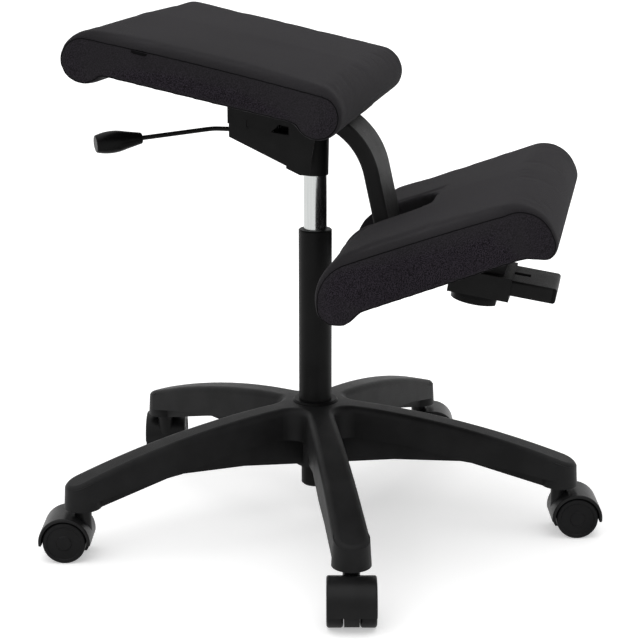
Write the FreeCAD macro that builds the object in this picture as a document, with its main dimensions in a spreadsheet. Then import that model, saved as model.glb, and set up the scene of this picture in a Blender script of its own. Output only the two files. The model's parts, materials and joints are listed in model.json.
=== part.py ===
import FreeCAD, Part

import math
import os
import re

import Sketcher
from FreeCAD import Placement, Rotation, Vector

# Kneeling chair on a five-star base with twin-wheel casters.
# The floor is z = 0, the gas column stands on the z axis and the chair faces -Y,
# so the sitter's right side is -X. All lengths are millimetres, all angles degrees.

os.makedirs("parts", exist_ok=True)
doc = FreeCAD.newDocument("kneeling_chair")

# Driving dimensions

SIZES = {
    # star base
    "stem_circle_radius": 300.0,
    "arm_heading": 198.82,
    "arm_width": 43.8,
    "arm_draft": 3.5,
    "web_radius": 16.0,
    "arm_edge_round": 8.0,
    "base_wall": 3.5,
    "crest_hub_height": 151.5,
    "crest_radius": 1060.0,
    "crest_end_height": 80.0,
    "arch_top_height": 110.0,
    "arch_flat_radius": 60.0,
    "arch_bend_radius": 122.0,
    "arch_bend_height": 103.2,
    "arch_end_radius": 185.0,
    "arch_end_height": 88.8,
    "underside_bend_radius": 235.0,
    "underside_bend_height": 82.8,
    "underside_end_height": 61.0,
    "keel_spacing": 20.0,
    "keel_wall": 3.0,
    "keel_hub_height": 74.0,
    "keel_bend_radius": 100.0,
    "keel_bend_height": 83.0,
    "keel_end_radius": 188.0,
    "keel_end_height": 86.0,
    "boss_bottom_height": 60.9,
    "hub_wall": 5.0,
    "hub_bottom_height": 70.0,
    "collar_radius": 27.7,
    "collar_bottom_height": 148.2,
    "collar_thickness": 4.5,
    # column and gas spring
    "column_diameter": 40.0,
    "column_wall": 2.0,
    "column_top_height": 362.5,
    "column_foot_height": 42.0,
    "column_foot_diameter": 34.6,
    "taper_top_height": 146.0,
    "taper_bottom_height": 76.0,
    "foot_plate": 2.5,
    "bush_length": 84.0,
    "bush_lip": 2.0,
    "spring_diameter": 27.8,
    "spring_bore": 22.0,
    "spring_bottom_height": 140.0,
    "spring_taper_height": 430.0,
    "spring_top_height": 473.5,
    "spring_top_diameter": 25.4,
    "bore_top_height": 438.0,
    "spring_end_wall": 8.0,
    "rod_diameter": 10.0,
    "rod_foot_diameter": 8.0,
    "rod_foot_height": 38.6,
    "piston_height": 12.0,
    "piston_bottom_height": 220.0,
    "race_thickness": 1.5,
    "race_diameter": 26.0,
    "ball_diameter": 3.0,
    "buffer_height": 12.0,
    "clip_thickness": 1.2,
    "clip_diameter": 17.0,
    "pin_diameter": 6.0,
    "pin_length": 24.0,
    # fits
    "running_gap": 0.05,
    "seat_gap": 0.02,
    "free_gap": 0.3,
    # casters
    "wheel_radius": 25.0,
    "wheel_width": 18.0,
    "wheel_gap": 18.0,
    "hub_cap_radius": 8.0,
    "rim_radius": 20.5,
    "face_recess": 1.2,
    "axle_depth": 14.0,
    "tread_round": 3.0,
    "caster_trail": 20.3,
    "axle_diameter": 6.0,
    "hood_radius": 30.2,
    "hood_wall": 3.4,
    "skirt_height": 9.0,
    "web_width": 16.4,
    "hood_edge_round": 2.5,
    "hood_top_height": 57.0,
    "neck_diameter": 19.0,
    "stem_diameter": 11.0,
    "stem_collar_diameter": 16.0,
    "stem_length": 30.0,
    "stem_tail_diameter": 8.0,
    "stem_tail_length": 24.0,
    # seat frame: local origin on the axis of the front roll
    "seat_tilt": 12.0,
    "seat_roll_y": -46.1,
    "seat_roll_z": 528.1,
    "seat_width": 439.0,
    "seat_length": 260.5,
    "seat_front_roll": 23.9,
    "seat_rear_roll": 24.6,
    "seat_underside": 12.0,
    "seat_crown": 5.5,
    "seat_relief": 1.2,
    "seat_arch": 4000.0,
    "cushion_puff": 2.5,
    "side_band": 9.0,
    "board_thickness": 12.0,
    "seat_board_margin": 26.0,
    "plate_thickness": 3.0,
    "seat_plate_width": 190.0,
    "seat_plate_front": 26.0,
    "seat_plate_length": 190.0,
    "bolt_diameter": 6.0,
    "bolt_head": 11.0,
    "bolt_head_height": 4.0,
    # mechanism housing
    "bar_width": 82.0,
    "bar_thickness": 18.3,
    "bar_wall": 2.2,
    "bar_corner": 3.0,
    "housing_wall": 2.5,
    "housing_front_y": -1.6,
    "housing_front_top_y": -13.8,
    "housing_foot_z": 436.2,
    "housing_heel_y": 9.3,
    "housing_step_y": 25.7,
    "housing_step_z": 443.8,
    "housing_step": 3.0,
    "housing_rear_y": 93.6,
    "housing_rear_z": 478.7,
    "web_end_y": 72.0,
    "rear_plate_bottom_z": 494.4,
    "rear_plate_lip": 3.0,
    "window_low_z": 482.5,
    "window_high_z": 494.5,
    "window_front_y": 22.5,
    "window_rear_y": 43.5,
    "window_top_rear_y": 33.8,
    "dimple_y": 70.7,
    "dimple_z": 495.0,
    "dimple_width": 4.0,
    "dimple_length": 11.0,
    "dimple_depth": 1.0,
    "socket_bottom_z": 430.5,
    "socket_foot_diameter": 31.4,
    "socket_top_diameter": 33.0,
    "socket_top_z": 474.5,
    "cross_plate_z": 463.0,
    "cross_plate_rear": 27.0,
    "cross_plate_thickness": 4.0,
    # lever
    "lever_diameter": 5.5,
    "lever_height": 481.2,
    "lever_pivot_y": 50.0,
    "lever_bend_y": 124.0,
    "lever_bend_radius": 24.0,
    "lever_angle": 33.0,
    "lever_roll": 7.7,
    "lever_nose": 2.0,
    "grip_bore": 45.0,
    "lever_reach": 88.0,
    "grip_length": 56.0,
    "grip_neck": 13.6,
    "grip_diameter": 21.2,
    "grip_swell": 20.0,
    "grip_arch": 60.0,
    "grip_round": 2.0,
    "ear_thickness": 3.0,
    "ear_width": 14.0,
    "ear_gap": 8.6,
    "barrel_diameter": 13.0,
    "pivot_diameter": 4.0,
    "bracket_base": 3.0,
    # curved bar and rail
    "bar_bend_radius": 87.0,
    "packer_thickness": 5.7,
    "bar_corner_station": -22.1,
    "bar_tail": 130.0,
    "leg_length": 165.0,
    "rail_run": 142.0,
    "bar_fall": 12.6,
    "rail_tilt": 8.5,
    "rail_bend_radius": 38.0,
    "rail_end": 52.9,
    "rail_slot_width": 12.0,
    "rail_slot_front": 19.2,
    "rail_slot_rear": 95.0,
    "plug_length": 22.0,
    "plug_cap": 5.0,
    "plug_round": 3.5,
    # knee carriage, in the rail's frame
    "sleeve_length": 72.0,
    "sleeve_side": 2.3,
    "sleeve_roof": 2.2,
    "sleeve_floor": 7.2,
    "knuckle_radius": 30.0,
    "knuckle_centre": 40.0,
    "knuckle_front": 15.0,
    "knuckle_height": 8.0,
    "cap_height": 6.0,
    "shoe_thickness": 4.0,
    "shoe_width": 34.0,
    "lock_neck_diameter": 15.0,
    "bracket_width": 64.0,
    "bracket_wall": 3.0,
    "bracket_front": 10.0,
    "bracket_rear": 74.0,
    "knee_wedge": 29.63,
    "knee_offset_y": 165.7,
    "knee_offset_z": -8.4,
    "knee_plate_rear": 98.0,
    "knee_plate_width": 120.0,
    "knee_plate_length": 92.0,
    # knee pad: local origin on the axis of its lower roll
    "knee_width": 436.5,
    "knee_underside": 14.9,
    "knee_lip_y": 221.2,
    "knee_lip_z": -7.0,
    "knee_lip_inset": 2.5,
    "knee_heel": 14.3,
    "knee_roll_low": 18.5,
    "knee_turn_y": 29.5,
    "knee_turn_z": 2.6,
    "knee_crest_rear": 23.2,
    "knee_rear_top": 41.5,
    "knee_crest_front": 199.3,
    "knee_front_top": 36.6,
    "knee_front_extreme": 238.0,
    "knee_arch": 4000.0,
    "knee_rear_arc": 48.5,
    "knee_rear_roll": 24.0,
    "knee_front_arc": 36.0,
    "knee_front_roll": 17.0,
    "knee_crown": 5.0,
    "knee_slot_width": 94.0,
    "knee_slot_depth": 95.0,
    "knee_slot_corner": 34.0,
    "knee_board_margin": 24.0,
    "knee_board_rear": 22.0,
    "knee_board_front": 196.0,
    "board_slot_gap": 3.0,
}

sheet = doc.addObject("Spreadsheet::Sheet", "Sizes")
for row, (alias, value) in enumerate(SIZES.items(), start=1):
    sheet.set("A%d" % row, alias)
    sheet.set("B%d" % row, str(value))
    sheet.setAlias("B%d" % row, alias)
doc.recompute()

ARMS = 5
ARM_STEP = 360.0 / ARMS
# Heading of each caster's trailing wheels, as the chair was parked, from arm 1 onwards.
CASTER_HEADINGS = (191.3, 281.3, 281.3, 11.3, 101.3)

nodes = []


def size(name):
    """One driving dimension as a number."""
    return float(getattr(sheet, name))


def number(expression):
    """The value of an expression over the sheet's aliases."""
    return float(sheet.evalExpression(expression))


def follow(piece, key, expression):
    """Binds a property of a piece to an expression over the sheet's aliases."""
    def to_sheet(word):
        return "Sizes." + word.group(0) if word.group(0) in SIZES else word.group(0)

    piece.setExpression(key, re.sub(r"[a-z][a-z_]+", to_sheet, expression))


def keep(piece, name):
    """Labels a finished piece, so that it is written as a node."""
    piece.Label = name
    nodes.append(piece)
    return piece


# Frames of the tilted groups

SEAT_FRAME = Placement(Vector(0, size("seat_roll_y"), size("seat_roll_z")),
                       Rotation(Vector(1, 0, 0), size("seat_tilt")))
BAR_DEPTH = "(seat_underside + plate_thickness + packer_thickness + bar_thickness / 2)"


def rail_origin():
    """Where the carriage sleeve starts on the rail, reached down the bar from the seat."""
    upper_corner = SEAT_FRAME.multVec(Vector(0, size("bar_corner_station"), -number(BAR_DEPTH)))
    fall = math.radians(size("bar_fall"))
    tilt = math.radians(size("rail_tilt"))
    leg = Vector(0, math.sin(fall), math.cos(fall)) * size("leg_length")
    run = Vector(0, math.cos(tilt), math.sin(tilt)) * size("rail_run")
    return upper_corner - leg - run


RAIL_FRAME = Placement(rail_origin(), Rotation(Vector(1, 0, 0), size("rail_tilt")))
KNEE_FRAME = RAIL_FRAME * Placement(Vector(0, size("knee_offset_y"), size("knee_offset_z")),
                                    Rotation(Vector(1, 0, 0), -size("knee_wedge")))
LEVER_FRAME = Placement(Vector(0, 0, size("lever_height")),
                        Rotation(Vector(0, 1, 0), -size("lever_roll")))


# Sketch and body helpers

def new_body(name, placement=None):
    """A body that becomes one node."""
    body = doc.addObject("PartDesign::Body", name)
    if placement is not None:
        body.Placement = placement
    return keep(body, name)


def new_sketch(body, role, lift=None):
    """A sketch on one of the body's own origin planes, lifted by an expression along its normal."""
    sketch = body.newObject("Sketcher::SketchObject", "Sketch")
    plane = [feature for feature in body.Origin.OriginFeatures if feature.Role == role][0]
    sketch.AttachmentSupport = [(plane, "")]
    sketch.MapMode = "FlatFace"
    if lift is not None:
        follow(sketch, "AttachmentOffset.Base.z", lift)
    return sketch


def bind(sketch, kind, ends, expression):
    """A dimension whose value follows an expression, taken so that it stays positive."""
    value = number(expression)
    if value < 0:
        ends = (ends[2], ends[3], ends[0], ends[1])
        expression = "-(%s)" % expression
        value = -value
    index = sketch.addConstraint(Sketcher.Constraint(kind, ends[0], ends[1], ends[2], ends[3], value))
    follow(sketch, "Constraints[%d]" % index, expression)


def pin_point(sketch, geometry, point, place):
    """Fixes a point of the sketch at a place given by two expressions."""
    for kind, axis, expression in (("DistanceX", -2, place[0]), ("DistanceY", -1, place[1])):
        if abs(number(expression)) < 1e-9:
            sketch.addConstraint(Sketcher.Constraint("PointOnObject", geometry, point, axis))
        else:
            bind(sketch, kind, (-1, 1, geometry, point), expression)


def draw_outline(sketch, corners):
    """A closed outline. A corner is (x, y) or (x, y, radius, side) when an arc leads on from it.

    Side is +1 for an arc whose centre lies on the left of the way on, and -1 on the right."""
    places = [Vector(number(corner[0]), number(corner[1]), 0) for corner in corners]
    count = len(corners)
    first = sketch.GeometryCount
    for index, corner in enumerate(corners):
        start = places[index]
        end = places[(index + 1) % count]
        if len(corner) == 2:
            sketch.addGeometry(Part.LineSegment(start, end))
            continue
        radius = number(corner[2])
        chord = end - start
        rise = math.sqrt(max(radius ** 2 - (chord.Length / 2) ** 2, 0))
        left = Vector(-chord.y, chord.x, 0).normalize()
        centre = start + chord * 0.5 + left * (rise * corner[3])
        turn_start = math.atan2(start.y - centre.y, start.x - centre.x)
        turn_end = math.atan2(end.y - centre.y, end.x - centre.x)
        if corner[3] < 0:
            turn_start, turn_end = turn_end, turn_start
        circle = Part.Circle(centre, Vector(0, 0, 1), radius)
        sketch.addGeometry(Part.ArcOfCircle(circle, turn_start, turn_end))
    for index, corner in enumerate(corners):
        forward = len(corner) == 2 or corner[3] > 0
        following = corners[(index + 1) % count]
        starts_forward = len(following) == 2 or following[3] > 0
        sketch.addConstraint(Sketcher.Constraint(
            "Coincident", first + index, 2 if forward else 1,
            first + (index + 1) % count, 1 if starts_forward else 2))
    for index, corner in enumerate(corners):
        forward = len(corner) == 2 or corner[3] > 0
        pin_point(sketch, first + index, 1 if forward else 2, corner)
        if len(corner) == 4:
            radius_index = sketch.addConstraint(
                Sketcher.Constraint("Radius", first + index, number(corner[2])))
            follow(sketch, "Constraints[%d]" % radius_index, corner[2])


def draw_circle(sketch, place, radius):
    """A circle whose centre and radius follow expressions."""
    centre = Vector(number(place[0]), number(place[1]), 0)
    index = sketch.addGeometry(Part.Circle(centre, Vector(0, 0, 1), number(radius)))
    pin_point(sketch, index, 3, place)
    dimension = sketch.addConstraint(Sketcher.Constraint("Radius", index, number(radius)))
    follow(sketch, "Constraints[%d]" % dimension, radius)


def rectangle(low_x, low_y, high_x, high_y):
    """The corners of an upright rectangle."""
    return [(low_x, low_y), (high_x, low_y), (high_x, high_y), (low_x, high_y)]


def pad(body, sketch, length, midplane=False, reverse=False):
    """Pads a sketch by an expression."""
    feature = body.newObject("PartDesign::Pad", "Pad")
    feature.Profile = sketch
    follow(feature, "Length", length)
    feature.Midplane = midplane
    feature.Reversed = reverse
    return feature


def pocket(body, sketch, length, midplane=False, reverse=False):
    """Cuts a sketch into the body and makes sure that something was cut."""
    doc.recompute()
    before = body.Shape.Volume
    feature = body.newObject("PartDesign::Pocket", "Pocket")
    feature.Profile = sketch
    follow(feature, "Length", length)
    feature.Midplane = midplane
    feature.Reversed = reverse
    doc.recompute()
    if not body.Shape.Volume < before - 1e-6:
        raise RuntimeError("a pocket of %s cuts nothing" % body.Label)
    return feature


def spin(body, sketch):
    """Revolves a sketch of radius and height about the body's z axis."""
    feature = body.newObject("PartDesign::Revolution", "Revolution")
    feature.Profile = sketch
    feature.ReferenceAxis = (sketch, ["V_Axis"])
    feature.Angle = 360.0
    return feature


def turned_body(name, corners, placement=None):
    """A turned piece: corners are (radius, height) expressions."""
    body = new_body(name, placement)
    sketch = new_sketch(body, "XZ_Plane")
    draw_outline(sketch, corners)
    spin(body, sketch)
    return body


def ring(inner, low, outer, high):
    """The half section of a plain ring."""
    return rectangle(inner, low, outer, high)


def at_angle(radius, angle):
    """A point of the plan at a radius and a heading."""
    turn = math.radians(angle)
    return Vector(radius * math.cos(turn), radius * math.sin(turn), 0)


def primitive(kind, name, sizes, places=None):
    """A Part primitive with its sizes, and its place if it has one, bound to expressions."""
    piece = doc.addObject("Part::" + kind, name)
    for key, expression in sizes.items():
        follow(piece, key, expression)
    for axis, expression in (places or {}).items():
        follow(piece, ".Placement.Base." + axis, expression)
    return piece


def cut(base, tool, name):
    """A boolean difference that must take something away."""
    result = doc.addObject("Part::Cut", name)
    result.Base = base
    result.Tool = tool
    doc.recompute()
    if not result.Shape.Volume < base.Shape.Volume - 1e-6:
        raise RuntimeError("%s cuts nothing" % name)
    return result


def join(pieces, name):
    """A boolean union."""
    result = doc.addObject("Part::MultiFuse", name)
    result.Shapes = pieces
    return result


def common(first, second, name):
    """A boolean intersection."""
    result = doc.addObject("Part::MultiCommon", name)
    result.Shapes = [first, second]
    return result


def round_edges(body, chosen, radius):
    """Rounds the edges of a body's tip that a test picks out."""
    doc.recompute()
    tip = body.Tip
    names = ["Edge%d" % index for index, edge in enumerate(tip.Shape.Edges, start=1) if chosen(edge)]
    if not names:
        raise RuntimeError("no edge of %s to round" % body.Label)
    feature = body.newObject("PartDesign::Fillet", "Fillet")
    feature.Base = (tip, names)
    follow(feature, "Radius", radius)
    doc.recompute()
    return feature


def middle(edge):
    """The point halfway along an edge."""
    return edge.valueAt((edge.FirstParameter + edge.LastParameter) / 2)


def rounded_rectangle(half_x, half_y, radius):
    """Outline of an upright rectangle about the origin with its corners rounded."""
    near_x = "(%s) - (%s)" % (half_x, radius)
    near_y = "(%s) - (%s)" % (half_y, radius)
    return [
        ("-(%s)" % near_x, "-(%s)" % half_y),
        (near_x, "-(%s)" % half_y, radius, 1),
        (half_x, "-(%s)" % near_y),
        (half_x, near_y, radius, 1),
        (near_x, half_y),
        ("-(%s)" % near_x, half_y, radius, 1),
        ("-(%s)" % half_x, near_y),
        ("-(%s)" % half_x, "-(%s)" % near_y, radius, 1),
    ]


# Star base: a crowned, drafted shell with an arch between the hub and each end boss

def star_wire(half_width, web, end_radius, height):
    """Plan of the arms: straight sides, round ends and a concave web between neighbours."""
    centre_radius = (half_width + web) / math.sin(math.radians(ARM_STEP / 2))
    edges = []
    for index in range(ARMS):
        heading = size("arm_heading") + index * ARM_STEP
        along = at_angle(1, heading)
        across = at_angle(1, heading + 90)
        next_along = at_angle(1, heading + ARM_STEP)
        next_across = at_angle(1, heading + ARM_STEP + 90)
        centre = at_angle(centre_radius, heading + ARM_STEP / 2)
        root = centre.dot(along)
        side_start = along * root - across * half_width
        end_start = along * end_radius - across * half_width
        end_middle = along * (end_radius + half_width)
        end_stop = along * end_radius + across * half_width
        side_stop = along * root + across * half_width
        web_middle = centre - at_angle(web, heading + ARM_STEP / 2)
        web_stop = next_along * root - next_across * half_width
        edges.append(Part.LineSegment(side_start, end_start).toShape())
        edges.append(Part.Arc(end_start, end_middle, end_stop).toShape())
        edges.append(Part.LineSegment(end_stop, side_stop).toShape())
        edges.append(Part.Arc(side_stop, web_middle, web_stop).toShape())
    wire = Part.Wire(edges)
    wire.translate(Vector(0, 0, height))
    return wire


def star_prism(name, half_width, web, end_radius):
    """The plan raised into a drafted solid."""
    outline = doc.addObject("Part::Feature", name + "_outline")
    outline.Shape = star_wire(half_width, web, end_radius, size("boss_bottom_height"))
    solid = doc.addObject("Part::Extrusion", name)
    solid.Base = outline
    solid.DirMode = "Custom"
    solid.Dir = Vector(0, 0, 1)
    solid.Solid = True
    follow(solid, "LengthFwd", "crest_hub_height - boss_bottom_height + base_wall")
    follow(solid, "TaperAngle", "-arm_draft")
    return solid


def tool_body(name, corners):
    """A turned solid used only as a tool."""
    body = doc.addObject("PartDesign::Body", name)
    sketch = new_sketch(body, "XZ_Plane")
    draw_outline(sketch, corners)
    spin(body, sketch)
    return body


BASE_RIM = "stem_circle_radius + arm_width"

arm_half = number("arm_width / 2")
arm_prism = star_prism("arm_prism", arm_half, size("web_radius"), size("stem_circle_radius"))
arm_band = tool_body("arm_band", [
    ("0", "arch_top_height"),
    ("arch_flat_radius", "arch_top_height"),
    ("arch_bend_radius", "arch_bend_height"),
    ("arch_end_radius", "arch_end_height"),
    ("underside_bend_radius", "underside_bend_height"),
    (BASE_RIM, "underside_end_height"),
    (BASE_RIM, "crest_end_height", "crest_radius", 1),
    ("0", "crest_hub_height"),
])
arms = common(arm_prism, arm_band, "arms")
doc.recompute()


def crest_height(radius):
    """Height of the crowned top at a radius."""
    rim = number(BASE_RIM)
    rise = size("crest_end_height") - size("crest_hub_height")
    chord = math.hypot(rim, rise)
    drop = math.sqrt(size("crest_radius") ** 2 - (chord / 2) ** 2)
    centre_r = rim / 2 + rise / chord * drop
    centre_z = (size("crest_hub_height") + size("crest_end_height")) / 2 - rim / chord * drop
    return centre_z + math.sqrt(size("crest_radius") ** 2 - (radius - centre_r) ** 2)


arms_rounded = doc.addObject("Part::Fillet", "arms_rounded")
arms_rounded.Base = arms
crest_edges = []
for index, edge in enumerate(arms.Shape.Edges, start=1):
    point = middle(edge)
    if abs(point.z - crest_height(math.hypot(point.x, point.y))) < 0.5:
        crest_edges.append((index, size("arm_edge_round"), size("arm_edge_round")))
arms_rounded.Edges = crest_edges

hub = primitive("Cylinder", "hub", {
    "Radius": "column_diameter / 2 + hub_wall",
    "Height": "crest_hub_height - hub_bottom_height - arm_edge_round / 2",
}, {"z": "hub_bottom_height"})
bosses = []
for index in range(ARMS):
    boss = primitive("Cone", "boss", {
        "Radius1": "arm_width / 2",
        "Radius2": "arm_width / 2 - (crest_hub_height - boss_bottom_height) * tan(arm_draft)",
        "Height": "crest_hub_height - boss_bottom_height",
    })
    place = at_angle(size("stem_circle_radius"), size("arm_heading") + index * ARM_STEP)
    boss.Placement = Placement(place + Vector(0, 0, size("boss_bottom_height")), Rotation())
    bosses.append(boss)
boss_group = join(bosses, "boss_group")
boss_band = tool_body("boss_band", [
    ("0", "boss_bottom_height"),
    (BASE_RIM, "boss_bottom_height"),
    (BASE_RIM, "crest_end_height - base_wall", "crest_radius", 1),
    ("0", "crest_hub_height - base_wall"),
])
boss_cores = common(boss_group, boss_band, "boss_cores")

cavity_half = number("arm_width / 2 - base_wall")
cavity_end = number("stem_circle_radius - arm_width + base_wall")
cavity_prism = star_prism("cavity_prism", cavity_half, number("web_radius + base_wall"), cavity_end)
cavity_band = tool_body("cavity_band", [
    ("column_diameter / 2 + hub_wall", "boss_bottom_height - base_wall"),
    (BASE_RIM, "boss_bottom_height - base_wall"),
    (BASE_RIM, "crest_end_height - base_wall", "crest_radius", 1),
    ("column_diameter / 2 + hub_wall", "crest_hub_height - 2 * base_wall"),
])
cavity = common(cavity_prism, cavity_band, "cavity")

keel = doc.addObject("PartDesign::Body", "keel")
keel.Placement = Placement(Vector(), Rotation(Vector(0, 0, 1), size("arm_heading")))
keel_features = []
for side in ("", "-"):
    sketch = new_sketch(keel, "XZ_Plane", side + "keel_spacing / 2")
    draw_outline(sketch, [
        ("column_diameter / 2 + hub_wall / 2", "keel_hub_height"),
        ("keel_bend_radius", "keel_bend_height"),
        ("keel_end_radius", "keel_end_height"),
        ("stem_circle_radius - arm_width / 2 + base_wall", "underside_end_height"),
        ("stem_circle_radius - arm_width / 2 + base_wall", "crest_end_height + base_wall"),
        ("column_diameter / 2 + hub_wall / 2", "crest_hub_height - arm_edge_round"),
    ])
    keel_features.append(pad(keel, sketch, "keel_wall", midplane=True))
doc.recompute()
pattern = keel.newObject("PartDesign::PolarPattern", "PolarPattern")
pattern.Originals = keel_features
z_axis = [feature for feature in keel.Origin.OriginFeatures if feature.Role == "Z_Axis"][0]
pattern.Axis = (z_axis, [""])
pattern.Angle = 360.0
pattern.Occurrences = ARMS
keel.Tip = pattern
doc.recompute()

shell = cut(arms_rounded, cavity, "arm_shell")
base_blank = join([shell, hub, boss_cores, keel], "base_blank")
hub_bore = tool_body("hub_bore", [
    ("0", "hub_bottom_height - base_wall"),
    ("column_foot_diameter / 2 + seat_gap", "hub_bottom_height - base_wall"),
    ("column_foot_diameter / 2 + seat_gap", "taper_bottom_height"),
    ("column_diameter / 2 + seat_gap", "taper_top_height"),
    ("column_diameter / 2 + seat_gap", "collar_bottom_height"),
    ("collar_radius + free_gap", "collar_bottom_height"),
    ("collar_radius + free_gap", "crest_hub_height + collar_thickness"),
    ("0", "crest_hub_height + collar_thickness"),
])
sockets = []
for index in range(ARMS):
    socket = primitive("Cylinder", "stem_socket", {
        "Radius": "stem_diameter / 2 + seat_gap",
        "Height": "stem_length + free_gap",
    })
    place = at_angle(size("stem_circle_radius"), size("arm_heading") + index * ARM_STEP)
    socket.Placement = Placement(place + Vector(0, 0, number("boss_bottom_height")), Rotation())
    sockets.append(socket)
bored = cut(base_blank, hub_bore, "base_bored")
keep(cut(bored, join(sockets, "stem_sockets"), "five_star_base"), "five_star_base")

# Collar ring and column

turned_body("hub_collar", [
    ("column_diameter / 2 + seat_gap", "collar_bottom_height"),
    ("collar_radius", "collar_bottom_height"),
    ("collar_radius", "collar_bottom_height + collar_thickness / 2"),
    ("collar_radius - collar_thickness / 2", "collar_bottom_height + collar_thickness"),
    ("column_diameter / 2 + seat_gap", "collar_bottom_height + collar_thickness"),
])

COLUMN = "column_diameter / 2"
FOOT = "column_foot_diameter / 2"
turned_body("column_tube", [
    ("rod_foot_diameter / 2 + free_gap", "column_foot_height"),
    (FOOT + " - column_wall", "column_foot_height"),
    (FOOT, "column_foot_height + column_wall"),
    (FOOT, "taper_bottom_height"),
    (COLUMN, "taper_top_height"),
    (COLUMN, "column_top_height"),
    (COLUMN + " - column_wall", "column_top_height"),
    (COLUMN + " - column_wall", "taper_top_height"),
    (FOOT + " - column_wall", "taper_bottom_height"),
    (FOOT + " - column_wall", "column_foot_height + foot_plate"),
    ("rod_foot_diameter / 2 + free_gap", "column_foot_height + foot_plate"),
])

SPRING = "spring_diameter / 2"
turned_body("guide_bush", [
    (SPRING + " + running_gap", "column_top_height - bush_length"),
    (COLUMN + " - column_wall - seat_gap", "column_top_height - bush_length"),
    (COLUMN + " - column_wall - seat_gap", "column_top_height + seat_gap"),
    (COLUMN, "column_top_height + seat_gap"),
    (COLUMN, "column_top_height + seat_gap + bush_lip / 2"),
    (COLUMN + " - bush_lip / 2", "column_top_height + bush_lip"),
    (SPRING + " + running_gap", "column_top_height + bush_lip"),
])

# Foot of the gas spring: thrust race, buffer and clip round the piston rod

RACE_FOOT = "column_foot_height + foot_plate"
RACE_GAP = "ball_diameter + 2 * seat_gap"
RACE_TOP = RACE_FOOT + " + race_thickness + " + RACE_GAP
keep_ring = "rod_foot_diameter / 2 + free_gap"
turned_body("race_lower", ring(
    keep_ring, RACE_FOOT + " + seat_gap", "race_diameter / 2", RACE_FOOT + " + race_thickness"))
BALLS = 8
balls = []
for index in range(BALLS):
    ball = primitive("Sphere", "ball", {"Radius": "ball_diameter / 2"})
    place = at_angle(number("race_diameter / 4 + rod_foot_diameter / 4"), index * 360.0 / BALLS)
    height = number(RACE_FOOT + " + race_thickness + seat_gap + ball_diameter / 2")
    ball.Placement = Placement(place + Vector(0, 0, height), Rotation())
    balls.append(ball)
ball_set = doc.addObject("Part::Compound", "race_balls")
ball_set.Links = balls
keep(ball_set, "race_balls")
turned_body("race_upper", ring(
    "rod_foot_diameter / 2 + seat_gap", RACE_TOP, "race_diameter / 2", RACE_TOP + " + race_thickness"))
BUFFER_FOOT = RACE_TOP + " + race_thickness + seat_gap"
turned_body("spring_buffer", ring(
    "rod_diameter / 2 + seat_gap", BUFFER_FOOT, "race_diameter / 2 - race_thickness",
    BUFFER_FOOT + " + buffer_height"))
CLIP_TOP = "column_foot_height - free_gap"
turned_body("rod_clip", ring(
    "rod_foot_diameter / 2 - clip_thickness / 2 + seat_gap", CLIP_TOP + " - clip_thickness",
    "clip_diameter / 2", CLIP_TOP))
turned_body("piston_rod", [
    ("0", "rod_foot_height"),
    ("rod_foot_diameter / 2", "rod_foot_height"),
    ("rod_foot_diameter / 2", CLIP_TOP + " - clip_thickness - seat_gap"),
    ("rod_foot_diameter / 2 - clip_thickness / 2", CLIP_TOP + " - clip_thickness - seat_gap"),
    ("rod_foot_diameter / 2 - clip_thickness / 2", CLIP_TOP + " + seat_gap"),
    ("rod_foot_diameter / 2", CLIP_TOP + " + seat_gap"),
    ("rod_foot_diameter / 2", BUFFER_FOOT),
    ("rod_diameter / 2", BUFFER_FOOT),
    ("rod_diameter / 2", "piston_bottom_height + piston_height"),
    ("0", "piston_bottom_height + piston_height"),
])
turned_body("piston", ring(
    "rod_diameter / 2 + seat_gap", "piston_bottom_height", "spring_bore / 2 - running_gap",
    "piston_bottom_height + piston_height"))

# Gas cylinder and its release pin

turned_body("gas_cylinder", [
    ("rod_diameter / 2 + running_gap", "spring_bottom_height"),
    (SPRING, "spring_bottom_height"),
    (SPRING, "spring_taper_height"),
    ("spring_top_diameter / 2", "spring_top_height"),
    ("pin_diameter / 2 + running_gap", "spring_top_height"),
    ("pin_diameter / 2 + running_gap", "bore_top_height"),
    ("spring_bore / 2", "bore_top_height"),
    ("spring_bore / 2", "spring_bottom_height + spring_end_wall"),
    ("rod_diameter / 2 + running_gap", "spring_bottom_height + spring_end_wall"),
])
PIN_TOP = "lever_height - lever_diameter / 2 - seat_gap"
turned_body("release_pin", [
    ("0", PIN_TOP + " - pin_length"),
    ("pin_diameter / 2", PIN_TOP + " - pin_length"),
    ("pin_diameter / 2", PIN_TOP),
    ("0", PIN_TOP),
])

# Casters: the stem stays in the arm, the hood turns on it and the wheels turn on the hood's axle

NECK_BORE = "stem_tail_diameter / 2 + running_gap"
stem_pieces = []
for index in range(ARMS):
    foot = at_angle(size("stem_circle_radius"), size("arm_heading") + index * ARM_STEP)
    for radius, low, height in (
            ("stem_diameter / 2", "boss_bottom_height", "stem_length"),
            ("stem_collar_diameter / 2", "hood_top_height + free_gap",
             "boss_bottom_height - hood_top_height - free_gap - seat_gap"),
            ("stem_tail_diameter / 2", "boss_bottom_height - stem_tail_length - free_gap",
             "stem_tail_length + stem_length")):
        piece = primitive("Cylinder", "stem_piece", {"Radius": radius, "Height": height})
        piece.Placement = Placement(foot + Vector(0, 0, number(low)), Rotation())
        stem_pieces.append(piece)
keep(join(stem_pieces, "caster_stems"), "caster_stems")

WEB_HALF = "web_width / 2"
WHEEL_INNER = "wheel_gap / 2"


def hood_outline(sketch, radius, chord_drop):
    """The part of a disc about the axle that lies above a level chord."""
    half = "sqrt((%s)^2 - (%s)^2)" % (radius, chord_drop)
    low = "wheel_radius - (%s)" % chord_drop
    draw_outline(sketch, [
        ("caster_trail - " + half, low),
        ("caster_trail + " + half, low, radius, 1),
        ("caster_trail", "wheel_radius + (%s)" % radius, radius, 1),
    ])


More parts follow.
